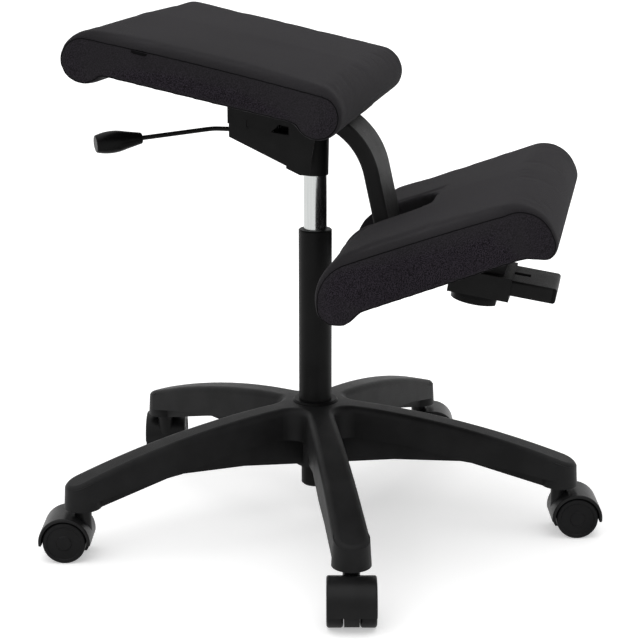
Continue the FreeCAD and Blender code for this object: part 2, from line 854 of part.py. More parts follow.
def add_hood(name, placement):
    """The hood: a half-round fender over both wheels, a web between them and a neck."""
    body = new_body(name, placement)
    fender = new_sketch(body, "XZ_Plane")
    hood_outline(fender, "hood_radius", "hood_wall")
    pad(body, fender, "2 * wheel_width + wheel_gap", midplane=True)
    half_width = number("wheel_width + wheel_gap / 2")
    axle_z = size("wheel_radius")

    def on_rim(edge):
        point = middle(edge)
        return abs(abs(point.y) - half_width) < 0.01 and point.z > axle_z

    round_edges(body, on_rim, "hood_edge_round")
    neck = new_sketch(body, "XY_Plane", "wheel_radius")
    draw_circle(neck, ("0", "0"), "neck_diameter / 2")
    pad(body, neck, "hood_top_height - wheel_radius")
    for lift, reverse in (("-(%s)" % WEB_HALF, False), (WEB_HALF, True)):
        well = new_sketch(body, "XZ_Plane", lift)
        draw_circle(well, ("caster_trail", "wheel_radius"), "hood_radius - hood_wall")
        pocket(body, well, "wheel_width + wheel_gap", reverse=reverse)
    web = new_sketch(body, "XZ_Plane")
    hood_outline(web, "hood_radius - hood_wall / 2", "wheel_radius - skirt_height")
    pad(body, web, "web_width", midplane=True)
    bore = new_sketch(body, "XY_Plane", "hood_top_height")
    draw_circle(bore, ("0", "0"), NECK_BORE)
    pocket(body, bore, "hood_top_height - boss_bottom_height + stem_tail_length + 2 * free_gap")
    axle_hole = new_sketch(body, "XZ_Plane")
    draw_circle(axle_hole, ("caster_trail", "wheel_radius"), "axle_diameter / 2 + seat_gap")
    pocket(body, axle_hole, "2 * web_width", midplane=True)
    return body


def add_wheel(name, placement):
    """A wheel about the body's z axis: solid tyre, recessed face and domed cap."""
    return turned_body(name, [
        ("axle_diameter / 2 + running_gap", "running_gap - (wheel_gap - web_width) / 2"),
        ("axle_diameter", "running_gap - (wheel_gap - web_width) / 2"),
        ("axle_diameter", "0"),
        ("wheel_radius - tread_round", "0", "tread_round", 1),
        ("wheel_radius", "tread_round"),
        ("wheel_radius", "wheel_width - tread_round", "tread_round", 1),
        ("wheel_radius - tread_round", "wheel_width"),
        ("rim_radius", "wheel_width"),
        ("rim_radius - face_recess", "wheel_width - face_recess"),
        ("hub_cap_radius + face_recess", "wheel_width - face_recess"),
        ("hub_cap_radius", "wheel_width"),
        ("0", "wheel_width"),
        ("0", "axle_depth"),
        ("axle_diameter / 2 + running_gap", "axle_depth"),
    ], placement)


for index, heading in enumerate(CASTER_HEADINGS):
    caster_number = index + 1
    foot = at_angle(size("stem_circle_radius"), size("arm_heading") + index * ARM_STEP)
    caster = Placement(foot, Rotation(Vector(0, 0, 1), heading))
    add_hood("caster_hood_%d" % caster_number, caster)
    axle = new_body("caster_axle_%d" % caster_number, caster)
    section = new_sketch(axle, "XZ_Plane")
    draw_circle(section, ("caster_trail", "wheel_radius"), "axle_diameter / 2")
    pad(axle, section, "wheel_gap + 2 * axle_depth - 2 * free_gap", midplane=True)
    for side, tilt in (("right", 90.0), ("left", -90.0)):
        y = number(WHEEL_INNER) * (-1 if side == "right" else 1)
        seat = Placement(Vector(size("caster_trail"), y, size("wheel_radius")),
                         Rotation(Vector(1, 0, 0), tilt))
        add_wheel("caster_wheel_%s_%d" % (side, caster_number), caster * seat)


# Socket and pressed housing of the mechanism

turned_socket = doc.addObject("PartDesign::Body", "socket_cone")
socket_sketch = new_sketch(turned_socket, "XZ_Plane")
CONE_FOOT = SPRING + " + seat_gap"
CONE_TOP = "spring_top_diameter / 2 + seat_gap"
draw_outline(socket_sketch, [
    (CONE_FOOT, "socket_bottom_z"),
    ("socket_foot_diameter / 2", "socket_bottom_z"),
    ("socket_top_diameter / 2", "socket_top_z"),
    (CONE_TOP, "socket_top_z"),
    (CONE_TOP, "spring_top_height"),
])
spin(turned_socket, socket_sketch)
cross_plate = primitive("Box", "cross_plate", {
    "Length": "bar_width",
    "Width": "cross_plate_rear - housing_front_y",
    "Height": "cross_plate_thickness",
}, {"x": "-bar_width / 2", "y": "housing_front_y", "z": "cross_plate_z"})
plate_hole = primitive("Cylinder", "plate_hole", {
    "Radius": "socket_foot_diameter / 2 - column_wall / 4",
    "Height": "cross_plate_thickness",
}, {"z": "cross_plate_z"})
holed_plate = cut(cross_plate, plate_hole, "holed_plate")
keep(join([turned_socket, holed_plate], "column_socket"), "column_socket")


def seat_z(y, depth):
    """Height at y of a plane that lies under the seat's own axis by a depth."""
    return ("seat_roll_z + ((%s) - seat_roll_y) * tan(seat_tilt) - (%s) / cos(seat_tilt)" % (y, depth))


PLATE_DEPTH = "seat_underside + plate_thickness"
HOUSING_WIDTH = "bar_width + 2 * housing_wall"


def slope_z(y, lift):
    """Height of the housing's sloping lower edge at y."""
    return ("housing_step_z + housing_step + (%s) + ((%s) - housing_step_y)"
            " * (housing_rear_z - housing_step_z - housing_step)"
            " / (housing_rear_y - housing_step_y)" % (lift, y))


housing = new_body("mechanism_housing")
side = new_sketch(housing, "YZ_Plane")
draw_outline(side, [
    ("housing_front_y", "housing_foot_z"),
    ("housing_heel_y", "housing_foot_z"),
    ("housing_step_y", "housing_step_z"),
    ("housing_step_y", "housing_step_z + housing_step"),
    ("housing_rear_y", "housing_rear_z"),
    ("housing_rear_y", seat_z("housing_rear_y", PLATE_DEPTH)),
    ("housing_front_top_y", seat_z("housing_front_top_y", PLATE_DEPTH)),
])
pad(housing, side, HOUSING_WIDTH, midplane=True)
inside = new_sketch(housing, "YZ_Plane")
draw_outline(inside, [
    ("housing_front_top_y - bar_thickness", "housing_foot_z - bar_thickness"),
    ("housing_step_y", "housing_foot_z - bar_thickness"),
    ("housing_step_y", slope_z("housing_step_y", "housing_wall")),
    ("web_end_y", slope_z("web_end_y", "housing_wall")),
    ("web_end_y", "housing_foot_z - bar_thickness"),
    ("housing_rear_y + bar_thickness", "housing_foot_z - bar_thickness"),
    ("housing_rear_y + bar_thickness", "seat_roll_z + bar_width"),
    ("housing_front_top_y - bar_thickness", "seat_roll_z + bar_width"),
])
pocket(housing, inside, "bar_width + 2 * seat_gap", midplane=True)
rear_plate = new_sketch(housing, "YZ_Plane")
draw_outline(rear_plate, [
    ("housing_rear_y - rear_plate_lip / 2", "rear_plate_bottom_z"),
    ("housing_rear_y + rear_plate_lip / 2", "rear_plate_bottom_z"),
    ("housing_rear_y + rear_plate_lip / 2", seat_z("housing_rear_y + rear_plate_lip / 2", PLATE_DEPTH)),
    ("housing_rear_y - rear_plate_lip / 2", seat_z("housing_rear_y - rear_plate_lip / 2", PLATE_DEPTH)),
])
pad(housing, rear_plate, HOUSING_WIDTH, midplane=True)
window = new_sketch(housing, "YZ_Plane")
draw_outline(window, [
    ("window_front_y", "window_low_z"),
    ("window_rear_y", "window_low_z + rear_plate_lip"),
    ("window_top_rear_y", "window_high_z"),
    ("window_front_y", "window_high_z - housing_wall"),
])
pocket(housing, window, "2 * bar_width", midplane=True)
for lift, reverse in (("bar_width / 2 + housing_wall - dimple_depth", True),
                      ("dimple_depth - bar_width / 2 - housing_wall", False)):
    dimple = new_sketch(housing, "YZ_Plane", lift)
    draw_outline(dimple, [
        ("dimple_y - dimple_width / 2", "dimple_z - (dimple_length - dimple_width) / 2",
         "dimple_width / 2 + running_gap", 1),
        ("dimple_y + dimple_width / 2", "dimple_z - (dimple_length - dimple_width) / 2"),
        ("dimple_y + dimple_width / 2", "dimple_z + (dimple_length - dimple_width) / 2",
         "dimple_width / 2 + running_gap", 1),
        ("dimple_y - dimple_width / 2", "dimple_z + (dimple_length - dimple_width) / 2"),
    ])
    pocket(housing, dimple, "bar_width / 2", reverse=reverse)

# Curved bar and rail: one bent rectangular tube, drawn in the rail's frame

LEG_ANGLE = "(90 - bar_fall - rail_tilt)"
SEAT_ANGLE = "(seat_tilt - rail_tilt)"
TURN_LOW = "(rail_bend_radius * tan(%s / 2))" % LEG_ANGLE
TURN_HIGH = "(bar_bend_radius * tan((%s - %s) / 2))" % (LEG_ANGLE, SEAT_ANGLE)


def leg_point(distance):
    """A point of the leg's middle line, measured up from the rail's corner."""
    return ("rail_run + (%s) * cos(%s)" % (distance, LEG_ANGLE), "(%s) * sin(%s)" % (distance, LEG_ANGLE))


def tail_point(distance):
    """A point of the middle line under the seat, measured back from the leg's upper corner."""
    foot = leg_point("leg_length")
    return ("%s + (%s) * cos(%s)" % (foot[0], distance, SEAT_ANGLE),
            "%s + (%s) * sin(%s)" % (foot[1], distance, SEAT_ANGLE))


def draw_path(sketch, steps):
    """An open path of lines and arcs: steps are (x, y) or (x, y, radius, side) as in an outline."""
    places = [Vector(number(step[0]), number(step[1]), 0) for step in steps]
    for index, step in enumerate(steps[:-1]):
        start = places[index]
        end = places[index + 1]
        if len(step) == 2:
            sketch.addGeometry(Part.LineSegment(start, end))
            continue
        radius = number(step[2])
        chord = end - start
        rise = math.sqrt(max(radius ** 2 - (chord.Length / 2) ** 2, 0))
        left = Vector(-chord.y, chord.x, 0).normalize()
        centre = start + chord * 0.5 + left * (rise * step[3])
        turn_start = math.atan2(start.y - centre.y, start.x - centre.x)
        turn_end = math.atan2(end.y - centre.y, end.x - centre.x)
        if step[3] < 0:
            turn_start, turn_end = turn_end, turn_start
        sketch.addGeometry(Part.ArcOfCircle(Part.Circle(centre, Vector(0, 0, 1), radius),
                                            turn_start, turn_end))
    for index, step in enumerate(steps[:-1]):
        forward = len(step) == 2 or step[3] > 0
        pin_point(sketch, index, 1 if forward else 2, step)
        if len(step) == 4:
            dimension = sketch.addConstraint(Sketcher.Constraint("Radius", index, number(step[2])))
            follow(sketch, "Constraints[%d]" % dimension, step[2])
        if index + 2 < len(steps):
            following = steps[index + 1]
            next_forward = len(following) == 2 or following[3] > 0
            sketch.addConstraint(Sketcher.Constraint("Coincident", index, 2 if forward else 1,
                                                     index + 1, 1 if next_forward else 2))
        else:
            pin_point(sketch, index, 2 if forward else 1, steps[-1])


bar = new_body("curved_bar", RAIL_FRAME)
path = new_sketch(bar, "YZ_Plane")
lower_leg = leg_point(TURN_LOW)
upper_leg = leg_point("leg_length - %s" % TURN_HIGH)
draw_path(path, [
    ("plug_cap - rail_end", "0"),
    ("rail_run - %s" % TURN_LOW, "0", "rail_bend_radius", 1),
    lower_leg,
    (upper_leg[0], upper_leg[1], "bar_bend_radius", -1),
    tail_point(TURN_HIGH),
    tail_point("bar_tail"),
])
section = new_sketch(bar, "XZ_Plane", "rail_end - plug_cap")
draw_outline(section, rounded_rectangle("bar_width / 2", "bar_thickness / 2", "bar_corner"))
draw_outline(section, rounded_rectangle(
    "bar_width / 2 - bar_wall", "bar_thickness / 2 - bar_wall", "bar_corner - bar_wall / 2"))
tube = bar.newObject("PartDesign::AdditivePipe", "Tube")
tube.Profile = section
tube.Spine = (path, [])
doc.recompute()
slot = new_sketch(bar, "XY_Plane")
draw_outline(slot, [
    ("-rail_slot_width / 2", "-rail_slot_front"),
    ("rail_slot_width / 2", "-rail_slot_front"),
    ("rail_slot_width / 2", "rail_slot_rear", "rail_slot_width / 2 + running_gap", 1),
    ("-rail_slot_width / 2", "rail_slot_rear"),
])
pocket(bar, slot, "2 * bar_thickness", midplane=True)

plug = new_body("rail_end_plug", RAIL_FRAME)
cap = new_sketch(plug, "XZ_Plane", "rail_end - plug_cap + seat_gap")
draw_outline(cap, rounded_rectangle("bar_width / 2", "bar_thickness / 2", "bar_corner"))
pad(plug, cap, "plug_cap - seat_gap")
FRONT_Y = number("-rail_end")


def on_plug_front(edge):
    return abs(middle(edge).y - FRONT_Y) < 0.01


round_edges(plug, on_plug_front, "plug_round")
insert = new_sketch(plug, "XZ_Plane", "rail_end - plug_cap + seat_gap")
draw_outline(insert, rounded_rectangle(
    "bar_width / 2 - bar_wall - running_gap", "bar_thickness / 2 - bar_wall - running_gap",
    "bar_corner - bar_wall / 2"))
pad(plug, insert, "plug_length - plug_cap", reverse=True)

# Seat: packer, plate and board in the seat's frame

TAIL_START = "(bar_corner_station + bar_bend_radius * tan((90 - bar_fall - seat_tilt) / 2))"


def slab(name, frame, low_x, low_y, high_x, high_y, foot, thickness):
    """A flat piece of one thickness, drawn in plan in a frame."""
    body = new_body(name, frame)
    plan = new_sketch(body, "XY_Plane", foot)
    draw_outline(plan, rectangle(low_x, low_y, high_x, high_y))
    pad(body, plan, thickness)
    return body


def drill(body, foot, holes, radius, depth):
    """Round holes upwards through a body from a level."""
    sketch = new_sketch(body, "XY_Plane", foot)
    for place in holes:
        draw_circle(sketch, place, radius)
    return pocket(body, sketch, depth, reverse=True)


slab("bar_packer", SEAT_FRAME, "-bar_width / 2 + bar_corner", TAIL_START,
     "bar_width / 2 - bar_corner", "bar_corner_station + bar_tail",
     "-(seat_underside + plate_thickness + packer_thickness) + seat_gap",
     "packer_thickness - 2 * seat_gap")
SEAT_BOLTS = [
    ("%s(seat_plate_width / 2 - bolt_head)" % x_sign, y)
    for x_sign in ("-", "")
    for y in ("seat_plate_front + bolt_head", "seat_plate_front + seat_plate_length - bolt_head")]
seat_plate = slab("seat_plate", SEAT_FRAME, "-seat_plate_width / 2", "seat_plate_front",
                  "seat_plate_width / 2", "seat_plate_front + seat_plate_length",
                  "-seat_underside - plate_thickness", "plate_thickness")
BOLT_HOLE = "bolt_diameter / 2 + running_gap"
drill(seat_plate, "-seat_underside - 2 * plate_thickness", SEAT_BOLTS, BOLT_HOLE, "3 * plate_thickness")
seat_board = slab("seat_board", SEAT_FRAME,
                  "-seat_width / 2 + seat_board_margin", "seat_board_margin",
                  "seat_width / 2 - seat_board_margin", "seat_length - seat_board_margin",
                  "-seat_underside + seat_gap", "board_thickness - seat_gap")
BOLT_DEPTH = "board_thickness * 0.75"
drill(seat_board, "-seat_underside - plate_thickness", SEAT_BOLTS, BOLT_HOLE,
      BOLT_DEPTH + " + plate_thickness + free_gap")


def bolt_set(name, frame, places, under):
    """Hexagon bolts up through a plate of the plate thickness, with their heads under it."""
    pieces = []
    for x, y in places:
        head = doc.addObject("Part::Prism", "bolt_head")
        head.Polygon = 6
        follow(head, "Circumradius", "bolt_head / 2")
        follow(head, "Height", "bolt_head_height")
        shank = primitive("Cylinder", "bolt_shank", {
            "Radius": "bolt_diameter / 2",
            "Height": "plate_thickness + seat_gap + " + BOLT_DEPTH,
        })
        for item, low in ((head, "%s - bolt_head_height - seat_gap" % under),
                          (shank, "%s - seat_gap" % under)):
            follow(item, ".Placement.Base.x", x)
            follow(item, ".Placement.Base.y", y)
            follow(item, ".Placement.Base.z", low)
            pieces.append(item)
    bolts = join(pieces, name)
    bolts.Placement = frame
    return keep(bolts, name)


bolt_set("seat_bolts", SEAT_FRAME, SEAT_BOLTS, "-seat_underside - plate_thickness")

# Seat cushion: two rolls with a crowned top between them, drawn in at both sides


def seat_section(puff, crown):
    """Side profile of the seat cushion, let out by a puff and raised by a crown."""
    front = "(seat_front_roll + %s)" % puff
    rear = "(seat_rear_roll + %s)" % puff
    top = "(%s + %s)" % (puff, crown)
    return [
        ("sqrt(%s^2 - seat_underside^2)" % front, "-seat_underside"),
        ("seat_length - sqrt(%s^2 - seat_underside^2)" % rear, "-seat_underside", rear, 1),
        ("seat_length + " + rear, "0", "(%s + %s)" % (rear, crown), 1),
        ("seat_length", "seat_rear_roll + " + top, "seat_arch", 1),
        ("0", "seat_front_roll + " + top, "(%s + %s)" % (front, crown), 1),
        ("-" + front, "0", front, 1),
    ]


def cushion(name, frame, width, section, crown, puff):
    """A loft through side profiles: full width, past the drawn-in band, and in the middle."""
    body = new_body(name, frame)
    stations = [
        ("-%s / 2" % width, "0", "0"),
        ("-%s / 2 + side_band / 3" % width, puff + " * 0.6", crown + " * 0.6"),
        ("-%s / 2 + side_band" % width, puff, crown),
        ("0", puff, crown + " * 1.5"),
        ("%s / 2 - side_band" % width, puff, crown),
        ("%s / 2 - side_band / 3" % width, puff + " * 0.6", crown + " * 0.6"),
        ("%s / 2" % width, "0", "0"),
    ]
    sketches = []
    for lift, let_out, rise in stations:
        sketch = new_sketch(body, "YZ_Plane", lift)
        draw_outline(sketch, section(let_out, rise))
        sketches.append(sketch)
    loft = body.newObject("PartDesign::AdditiveLoft", "Loft")
    loft.Profile = sketches[0]
    loft.Sections = sketches[1:]
    loft.Ruled = True
    doc.recompute()
    return body


seat_cushion = cushion("seat_cushion", SEAT_FRAME, "seat_width", seat_section, "seat_crown", "cushion_puff")
bed = new_sketch(seat_cushion, "XY_Plane", "-seat_underside - plate_thickness")
draw_outline(bed, rectangle(
    "-seat_width / 2 + seat_board_margin - free_gap", "seat_board_margin - free_gap",
    "seat_width / 2 - seat_board_margin + free_gap", "seat_length - seat_board_margin + free_gap"))
pocket(seat_cushion, bed, "board_thickness + plate_thickness + free_gap", reverse=True)
bar_relief = new_sketch(seat_cushion, "XY_Plane", "-2 * seat_front_roll")
RELIEF_HALF = "bar_width / 2 + seat_relief"
draw_outline(bar_relief, rectangle(
    "-(%s)" % RELIEF_HALF, "-2 * seat_front_roll", RELIEF_HALF, "2 * seat_front_roll"))
pocket(seat_cushion, bar_relief,
       "2 * seat_front_roll - seat_underside - plate_thickness - packer_thickness + seat_relief",
       reverse=True)

# Lever: bent rod with a barrel on its pivot pin, in an ear bracket under the bar

BAR_UNDER = BAR_DEPTH + " + bar_thickness / 2"
bracket = new_body("lever_bracket")
ears = new_sketch(bracket, "YZ_Plane")
EAR_FRONT = "lever_pivot_y - ear_width / 2"
EAR_REAR = "lever_pivot_y + ear_width / 2"
draw_outline(ears, [
    (EAR_FRONT, "lever_height", "ear_width / 2 + running_gap", 1),
    (EAR_REAR, "lever_height"),
    (EAR_REAR, seat_z(EAR_REAR, BAR_UNDER) + " - seat_gap"),
    (EAR_FRONT, seat_z(EAR_FRONT, BAR_UNDER) + " - seat_gap"),
])
pad(bracket, ears, "ear_gap + 2 * ear_thickness", midplane=True)
throat = new_sketch(bracket, "YZ_Plane")
THROAT_LOW = "lever_height - ear_width"
draw_outline(throat, [
    (EAR_FRONT + " - 1", THROAT_LOW),
    (EAR_REAR + " + 1", THROAT_LOW),
    (EAR_REAR + " + 1", seat_z(EAR_REAR + " + 1", BAR_UNDER) + " - bracket_base"),
    (EAR_FRONT + " - 1", seat_z(EAR_FRONT + " - 1", BAR_UNDER) + " - bracket_base"),
])
pocket(bracket, throat, "ear_gap", midplane=True)
PIVOT = ("lever_pivot_y", "lever_height")
pivot_hole = new_sketch(bracket, "YZ_Plane")
draw_circle(pivot_hole, PIVOT, "pivot_diameter / 2 + seat_gap")
pocket(bracket, pivot_hole, "2 * ear_gap + 4 * ear_thickness", midplane=True)
pivot_pin = new_body("lever_pivot_pin")
pin_section = new_sketch(pivot_pin, "YZ_Plane")
draw_circle(pin_section, PIVOT, "pivot_diameter / 2")
pad(pivot_pin, pin_section, "ear_gap + 2 * ear_thickness + 2", midplane=True)

rod = doc.addObject("PartDesign::Body", "bent_rod")
rod.Placement = LEVER_FRAME
rod_path = new_sketch(rod, "XY_Plane")
ROD_TURN = "(lever_bend_radius * tan(lever_angle / 2))"
ROD_END = "(lever_reach + grip_bore)"
draw_path(rod_path, [
    ("0", "-lever_nose"),
    ("0", "lever_bend_y - " + ROD_TURN, "lever_bend_radius", 1),
    ("-%s * sin(lever_angle)" % ROD_TURN, "lever_bend_y + %s * cos(lever_angle)" % ROD_TURN),
    ("-%s * sin(lever_angle)" % ROD_END, "lever_bend_y + %s * cos(lever_angle)" % ROD_END),
])
rod_section = new_sketch(rod, "XZ_Plane", "lever_nose")
draw_circle(rod_section, ("0", "0"), "lever_diameter / 2")
rod_pipe = rod.newObject("PartDesign::AdditivePipe", "Rod")
rod_pipe.Profile = rod_section
rod_pipe.Spine = (rod_path, [])
doc.recompute()
barrel = primitive("Cylinder", "barrel", {
    "Radius": "barrel_diameter / 2 - running_gap",
    "Height": "ear_gap - 2 * free_gap",
})
barrel.Placement = Placement(
    Vector(-number("ear_gap / 2 - free_gap"), size("lever_pivot_y"), size("lever_height")),
    Rotation(Vector(0, 1, 0), 90))
barrel_hole = primitive("Cylinder", "barrel_hole", {
    "Radius": "pivot_diameter / 2 + running_gap",
    "Height": "2 * ear_gap",
})
barrel_hole.Placement = Placement(
    Vector(-size("ear_gap"), size("lever_pivot_y"), size("lever_height")),
    Rotation(Vector(0, 1, 0), 90))
lever_blank = join([rod, barrel], "lever_blank")
doc.recompute()
keep(cut(lever_blank, barrel_hole, "lever_rod"), "lever_rod")

grip_foot = Placement(
    Vector(-number("lever_reach * sin(lever_angle)"),
           number("lever_bend_y + lever_reach * cos(lever_angle)"), 0),
    Rotation(Vector(0, 0, 1), size("lever_angle")) * Rotation(Vector(1, 0, 0), -90))
turned_body("lever_grip", [
    ("lever_diameter / 2 + seat_gap", "0"),
    ("grip_neck / 2 - grip_round", "0", "grip_round", 1),
    ("grip_neck / 2", "grip_round"),
    ("grip_diameter / 2", "grip_swell", "grip_arch", 1),
    ("grip_diameter / 2", "grip_length - grip_round", "grip_round", 1),
    ("grip_diameter / 2 - grip_round", "grip_length"),
    ("0", "grip_length"),
    ("0", "grip_bore + free_gap"),
    ("lever_diameter / 2 + seat_gap", "grip_bore + free_gap"),
], LEVER_FRAME * grip_foot)

# Knee carriage: sleeve on the rail, wedge bracket, plate and board

SLEEVE_HALF = "bar_width / 2 + running_gap"
SLEEVE_TOP = "bar_thickness / 2 + running_gap + sleeve_roof"
SLEEVE_FLOOR = "bar_thickness / 2 + running_gap + sleeve_floor"
sleeve = new_body("carriage_sleeve", RAIL_FRAME)
sleeve_section = new_sketch(sleeve, "XZ_Plane")
SLEEVE_WIDE = "%s + sleeve_side" % SLEEVE_HALF
draw_outline(sleeve_section, rectangle(
    "-(%s)" % SLEEVE_WIDE, "-(%s)" % SLEEVE_FLOOR, SLEEVE_WIDE, SLEEVE_TOP))
draw_outline(sleeve_section, rounded_rectangle(
    SLEEVE_HALF, "bar_thickness / 2 + running_gap", "bar_corner"))
pad(sleeve, sleeve_section, "sleeve_length", reverse=True)
shoe_well = new_sketch(sleeve, "XY_Plane", "-(%s) - 1" % SLEEVE_FLOOR)
draw_outline(shoe_well, rectangle(
    "-shoe_width / 2 - free_gap", "knuckle_centre - shoe_width / 2 - free_gap",
    "shoe_width / 2 + free_gap", "knuckle_centre + shoe_width / 2 + free_gap"))
pocket(sleeve, shoe_well, "sleeve_floor + 1", reverse=True)


def knuckle_outline():
    """The D of the lock: a flat front and a round back."""
    flat = "knuckle_centre - knuckle_front"
    half = "sqrt(knuckle_radius^2 - (%s)^2)" % flat
    return [
        (half, "knuckle_front", "knuckle_radius", 1),
        ("0", "knuckle_centre + knuckle_radius", "knuckle_radius", 1),
        ("-" + half, "knuckle_front"),
    ]


KNUCKLE_TOP = "-(%s) - seat_gap" % SLEEVE_FLOOR
knuckle = new_body("carriage_knuckle", RAIL_FRAME)
knuckle_plan = new_sketch(knuckle, "XY_Plane", KNUCKLE_TOP)
draw_outline(knuckle_plan, knuckle_outline())
pad(knuckle, knuckle_plan, "knuckle_height", reverse=True)
neck_hole = new_sketch(knuckle, "XY_Plane", KNUCKLE_TOP)
draw_circle(neck_hole, ("0", "knuckle_centre"), "lock_neck_diameter / 2 + running_gap")
pocket(knuckle, neck_hole, "knuckle_height + 1")

CAP_TOP = "%s - knuckle_height - seat_gap" % KNUCKLE_TOP
SHOE_TOP = "-bar_thickness / 2 - running_gap"
lock_cap = new_body("lock_cap", RAIL_FRAME)
cap_plan = new_sketch(lock_cap, "XY_Plane", CAP_TOP)
draw_outline(cap_plan, knuckle_outline())
pad(lock_cap, cap_plan, "cap_height", reverse=True)
cap_neck = new_sketch(lock_cap, "XY_Plane", CAP_TOP)
draw_circle(cap_neck, ("0", "knuckle_centre"), "lock_neck_diameter / 2")
pad(lock_cap, cap_neck, "%s - shoe_thickness - seat_gap - (%s)" % (SHOE_TOP, CAP_TOP))
slab("brake_shoe", RAIL_FRAME, "-shoe_width / 2", "knuckle_centre - shoe_width / 2",
     "shoe_width / 2", "knuckle_centre + shoe_width / 2",
     SHOE_TOP + " - shoe_thickness", "shoe_thickness")


def knee_plane(y, depth):
    """Height in the rail's frame, at y, of a plane under the knee pad's own axis by a depth."""
    return ("knee_offset_z - ((%s) - knee_offset_y) * tan(knee_wedge)"
            " - (%s) / cos(knee_wedge)" % (y, depth))


KNEE_PLATE = "knee_underside + plate_thickness"
wedge = new_body("carriage_bracket", RAIL_FRAME)
cheeks = new_sketch(wedge, "YZ_Plane")
BRACKET_FOOT = SLEEVE_TOP + " + seat_gap"
draw_outline(cheeks, [
    ("bracket_front", BRACKET_FOOT),
    ("bracket_rear - bracket_wall", BRACKET_FOOT),
    ("bracket_rear - bracket_wall", knee_plane("bracket_rear - bracket_wall", KNEE_PLATE)),
    ("bracket_front", knee_plane("bracket_front", KNEE_PLATE)),
])
pad(wedge, cheeks, "bracket_width", midplane=True)
hollow = new_sketch(wedge, "YZ_Plane")
draw_outline(hollow, rectangle(
    "bracket_front - bracket_wall", BRACKET_FOOT + " + bracket_wall",
    "bracket_rear + bracket_wall", BRACKET_FOOT + " + bracket_width + bracket_rear"))
pocket(wedge, hollow, "bracket_width - 2 * bracket_wall", midplane=True)

PLATE_NEAR = "-knee_plate_rear - knee_plate_length"
KNEE_BOLTS = [
    ("%s(knee_plate_width / 2 - bolt_head)" % x_sign, y)
    for x_sign in ("-", "")
    for y in (PLATE_NEAR + " + bolt_head", "-knee_plate_rear - bolt_head")]
knee_plate = slab("knee_plate", KNEE_FRAME, "-knee_plate_width / 2", PLATE_NEAR,
                  "knee_plate_width / 2", "-knee_plate_rear",
                  "-knee_underside - plate_thickness", "plate_thickness - seat_gap")
drill(knee_plate, "-knee_underside - 2 * plate_thickness", KNEE_BOLTS, BOLT_HOLE, "3 * plate_thickness")

BOARD_SLOT = "knee_slot_width / 2 + board_slot_gap + cap_height"
knee_board = slab("knee_board", KNEE_FRAME,
                  "-knee_width / 2 + knee_board_margin", "-knee_board_front",
                  "knee_width / 2 - knee_board_margin", "-knee_board_rear",
                  "-knee_underside + seat_gap", "board_thickness - seat_gap")
notch = new_sketch(knee_board, "XY_Plane", "-knee_underside - plate_thickness")
draw_outline(notch, rectangle(
    "-(%s)" % BOARD_SLOT, "-knee_slot_depth - board_slot_gap",
    BOARD_SLOT, "knee_board_rear"))
pocket(knee_board, notch, "2 * board_thickness", reverse=True)
drill(knee_board, "-knee_underside - plate_thickness", KNEE_BOLTS, BOLT_HOLE,
      BOLT_DEPTH + " + plate_thickness + free_gap")
bolt_set("knee_bolts", KNEE_FRAME, KNEE_BOLTS, "-knee_underside - plate_thickness")

# Knee cushion: a thick lower roll, a thin upper roll and a slot for the bar


def knee_section(puff, crown):
    """Side profile of the knee cushion; y runs back and the underside is level."""
    big = "(knee_rear_arc + %s)" % puff
    low = "(knee_rear_roll + %s)" % puff
    lip = "(knee_front_roll + %s)" % puff
    crest = "(knee_front_arc + %s)" % puff
    rise = "(%s + %s)" % (puff, crown)
    return [
        ("-knee_lip_y + %s + knee_lip_inset" % lip, "-knee_underside"),
        ("-knee_heel", "-knee_underside"),
        ("-knee_heel + %s / 4" % "knee_rear_roll", "-knee_roll_low", low, 1),
        ("knee_turn_y + " + puff, "-knee_turn_z", big, 1),
        ("-knee_crest_rear", "knee_rear_top + " + rise, "knee_arch", 1),
        ("-knee_crest_front", "knee_front_top + " + rise, "(%s + %s / 2)" % (crest, crown), 1),
        ("-knee_front_extreme - " + puff, "knee_turn_z", "2 * " + lip, 1),
        ("-knee_front_extreme - " + puff, "knee_lip_z", lip, 1),
        ("-knee_lip_y", "knee_lip_z - " + lip),
    ]


knee_cushion = cushion("knee_cushion", KNEE_FRAME, "knee_width", knee_section, "knee_crown", "cushion_puff")
knee_bed = new_sketch(knee_cushion, "XY_Plane", "-knee_underside - board_thickness")
NOTCH_WALL = BOARD_SLOT + " - free_gap"
NOTCH_END = "-knee_slot_depth - board_slot_gap - free_gap"
BED_X = "knee_width / 2 - knee_board_margin + free_gap"
BED_FRONT = "-knee_board_front - free_gap"
BED_REAR = "-knee_board_rear + free_gap"
draw_outline(knee_bed, [
    ("-(%s)" % BED_X, BED_FRONT),
    (BED_X, BED_FRONT),
    (BED_X, BED_REAR),
    (NOTCH_WALL, BED_REAR),
    (NOTCH_WALL, NOTCH_END + " + 2 * free_gap"),
    ("-(%s)" % NOTCH_WALL, NOTCH_END + " + 2 * free_gap"),
    ("-(%s)" % NOTCH_WALL, BED_REAR),
    ("-(%s)" % BED_X, BED_REAR),
])
pocket(knee_cushion, knee_bed, "2 * board_thickness + free_gap", reverse=True)
slot_cut = new_sketch(knee_cushion, "XY_Plane", "-2 * knee_rear_arc")
SLOT_HALF = "knee_slot_width / 2"
draw_outline(slot_cut, [
    ("-" + SLOT_HALF, "-knee_slot_depth + knee_slot_corner", "knee_slot_corner", 1),
    ("-%s + knee_slot_corner" % SLOT_HALF, "-knee_slot_depth"),
    ("%s - knee_slot_corner" % SLOT_HALF, "-knee_slot_depth", "knee_slot_corner", 1),
    (SLOT_HALF, "-knee_slot_depth + knee_slot_corner"),
    (SLOT_HALF, "2 * knee_rear_arc"),
    ("-" + SLOT_HALF, "2 * knee_rear_arc"),
])
pocket(knee_cushion, slot_cut, "4 * knee_rear_arc", reverse=True)

# Every object and every shape is sound before anything is written

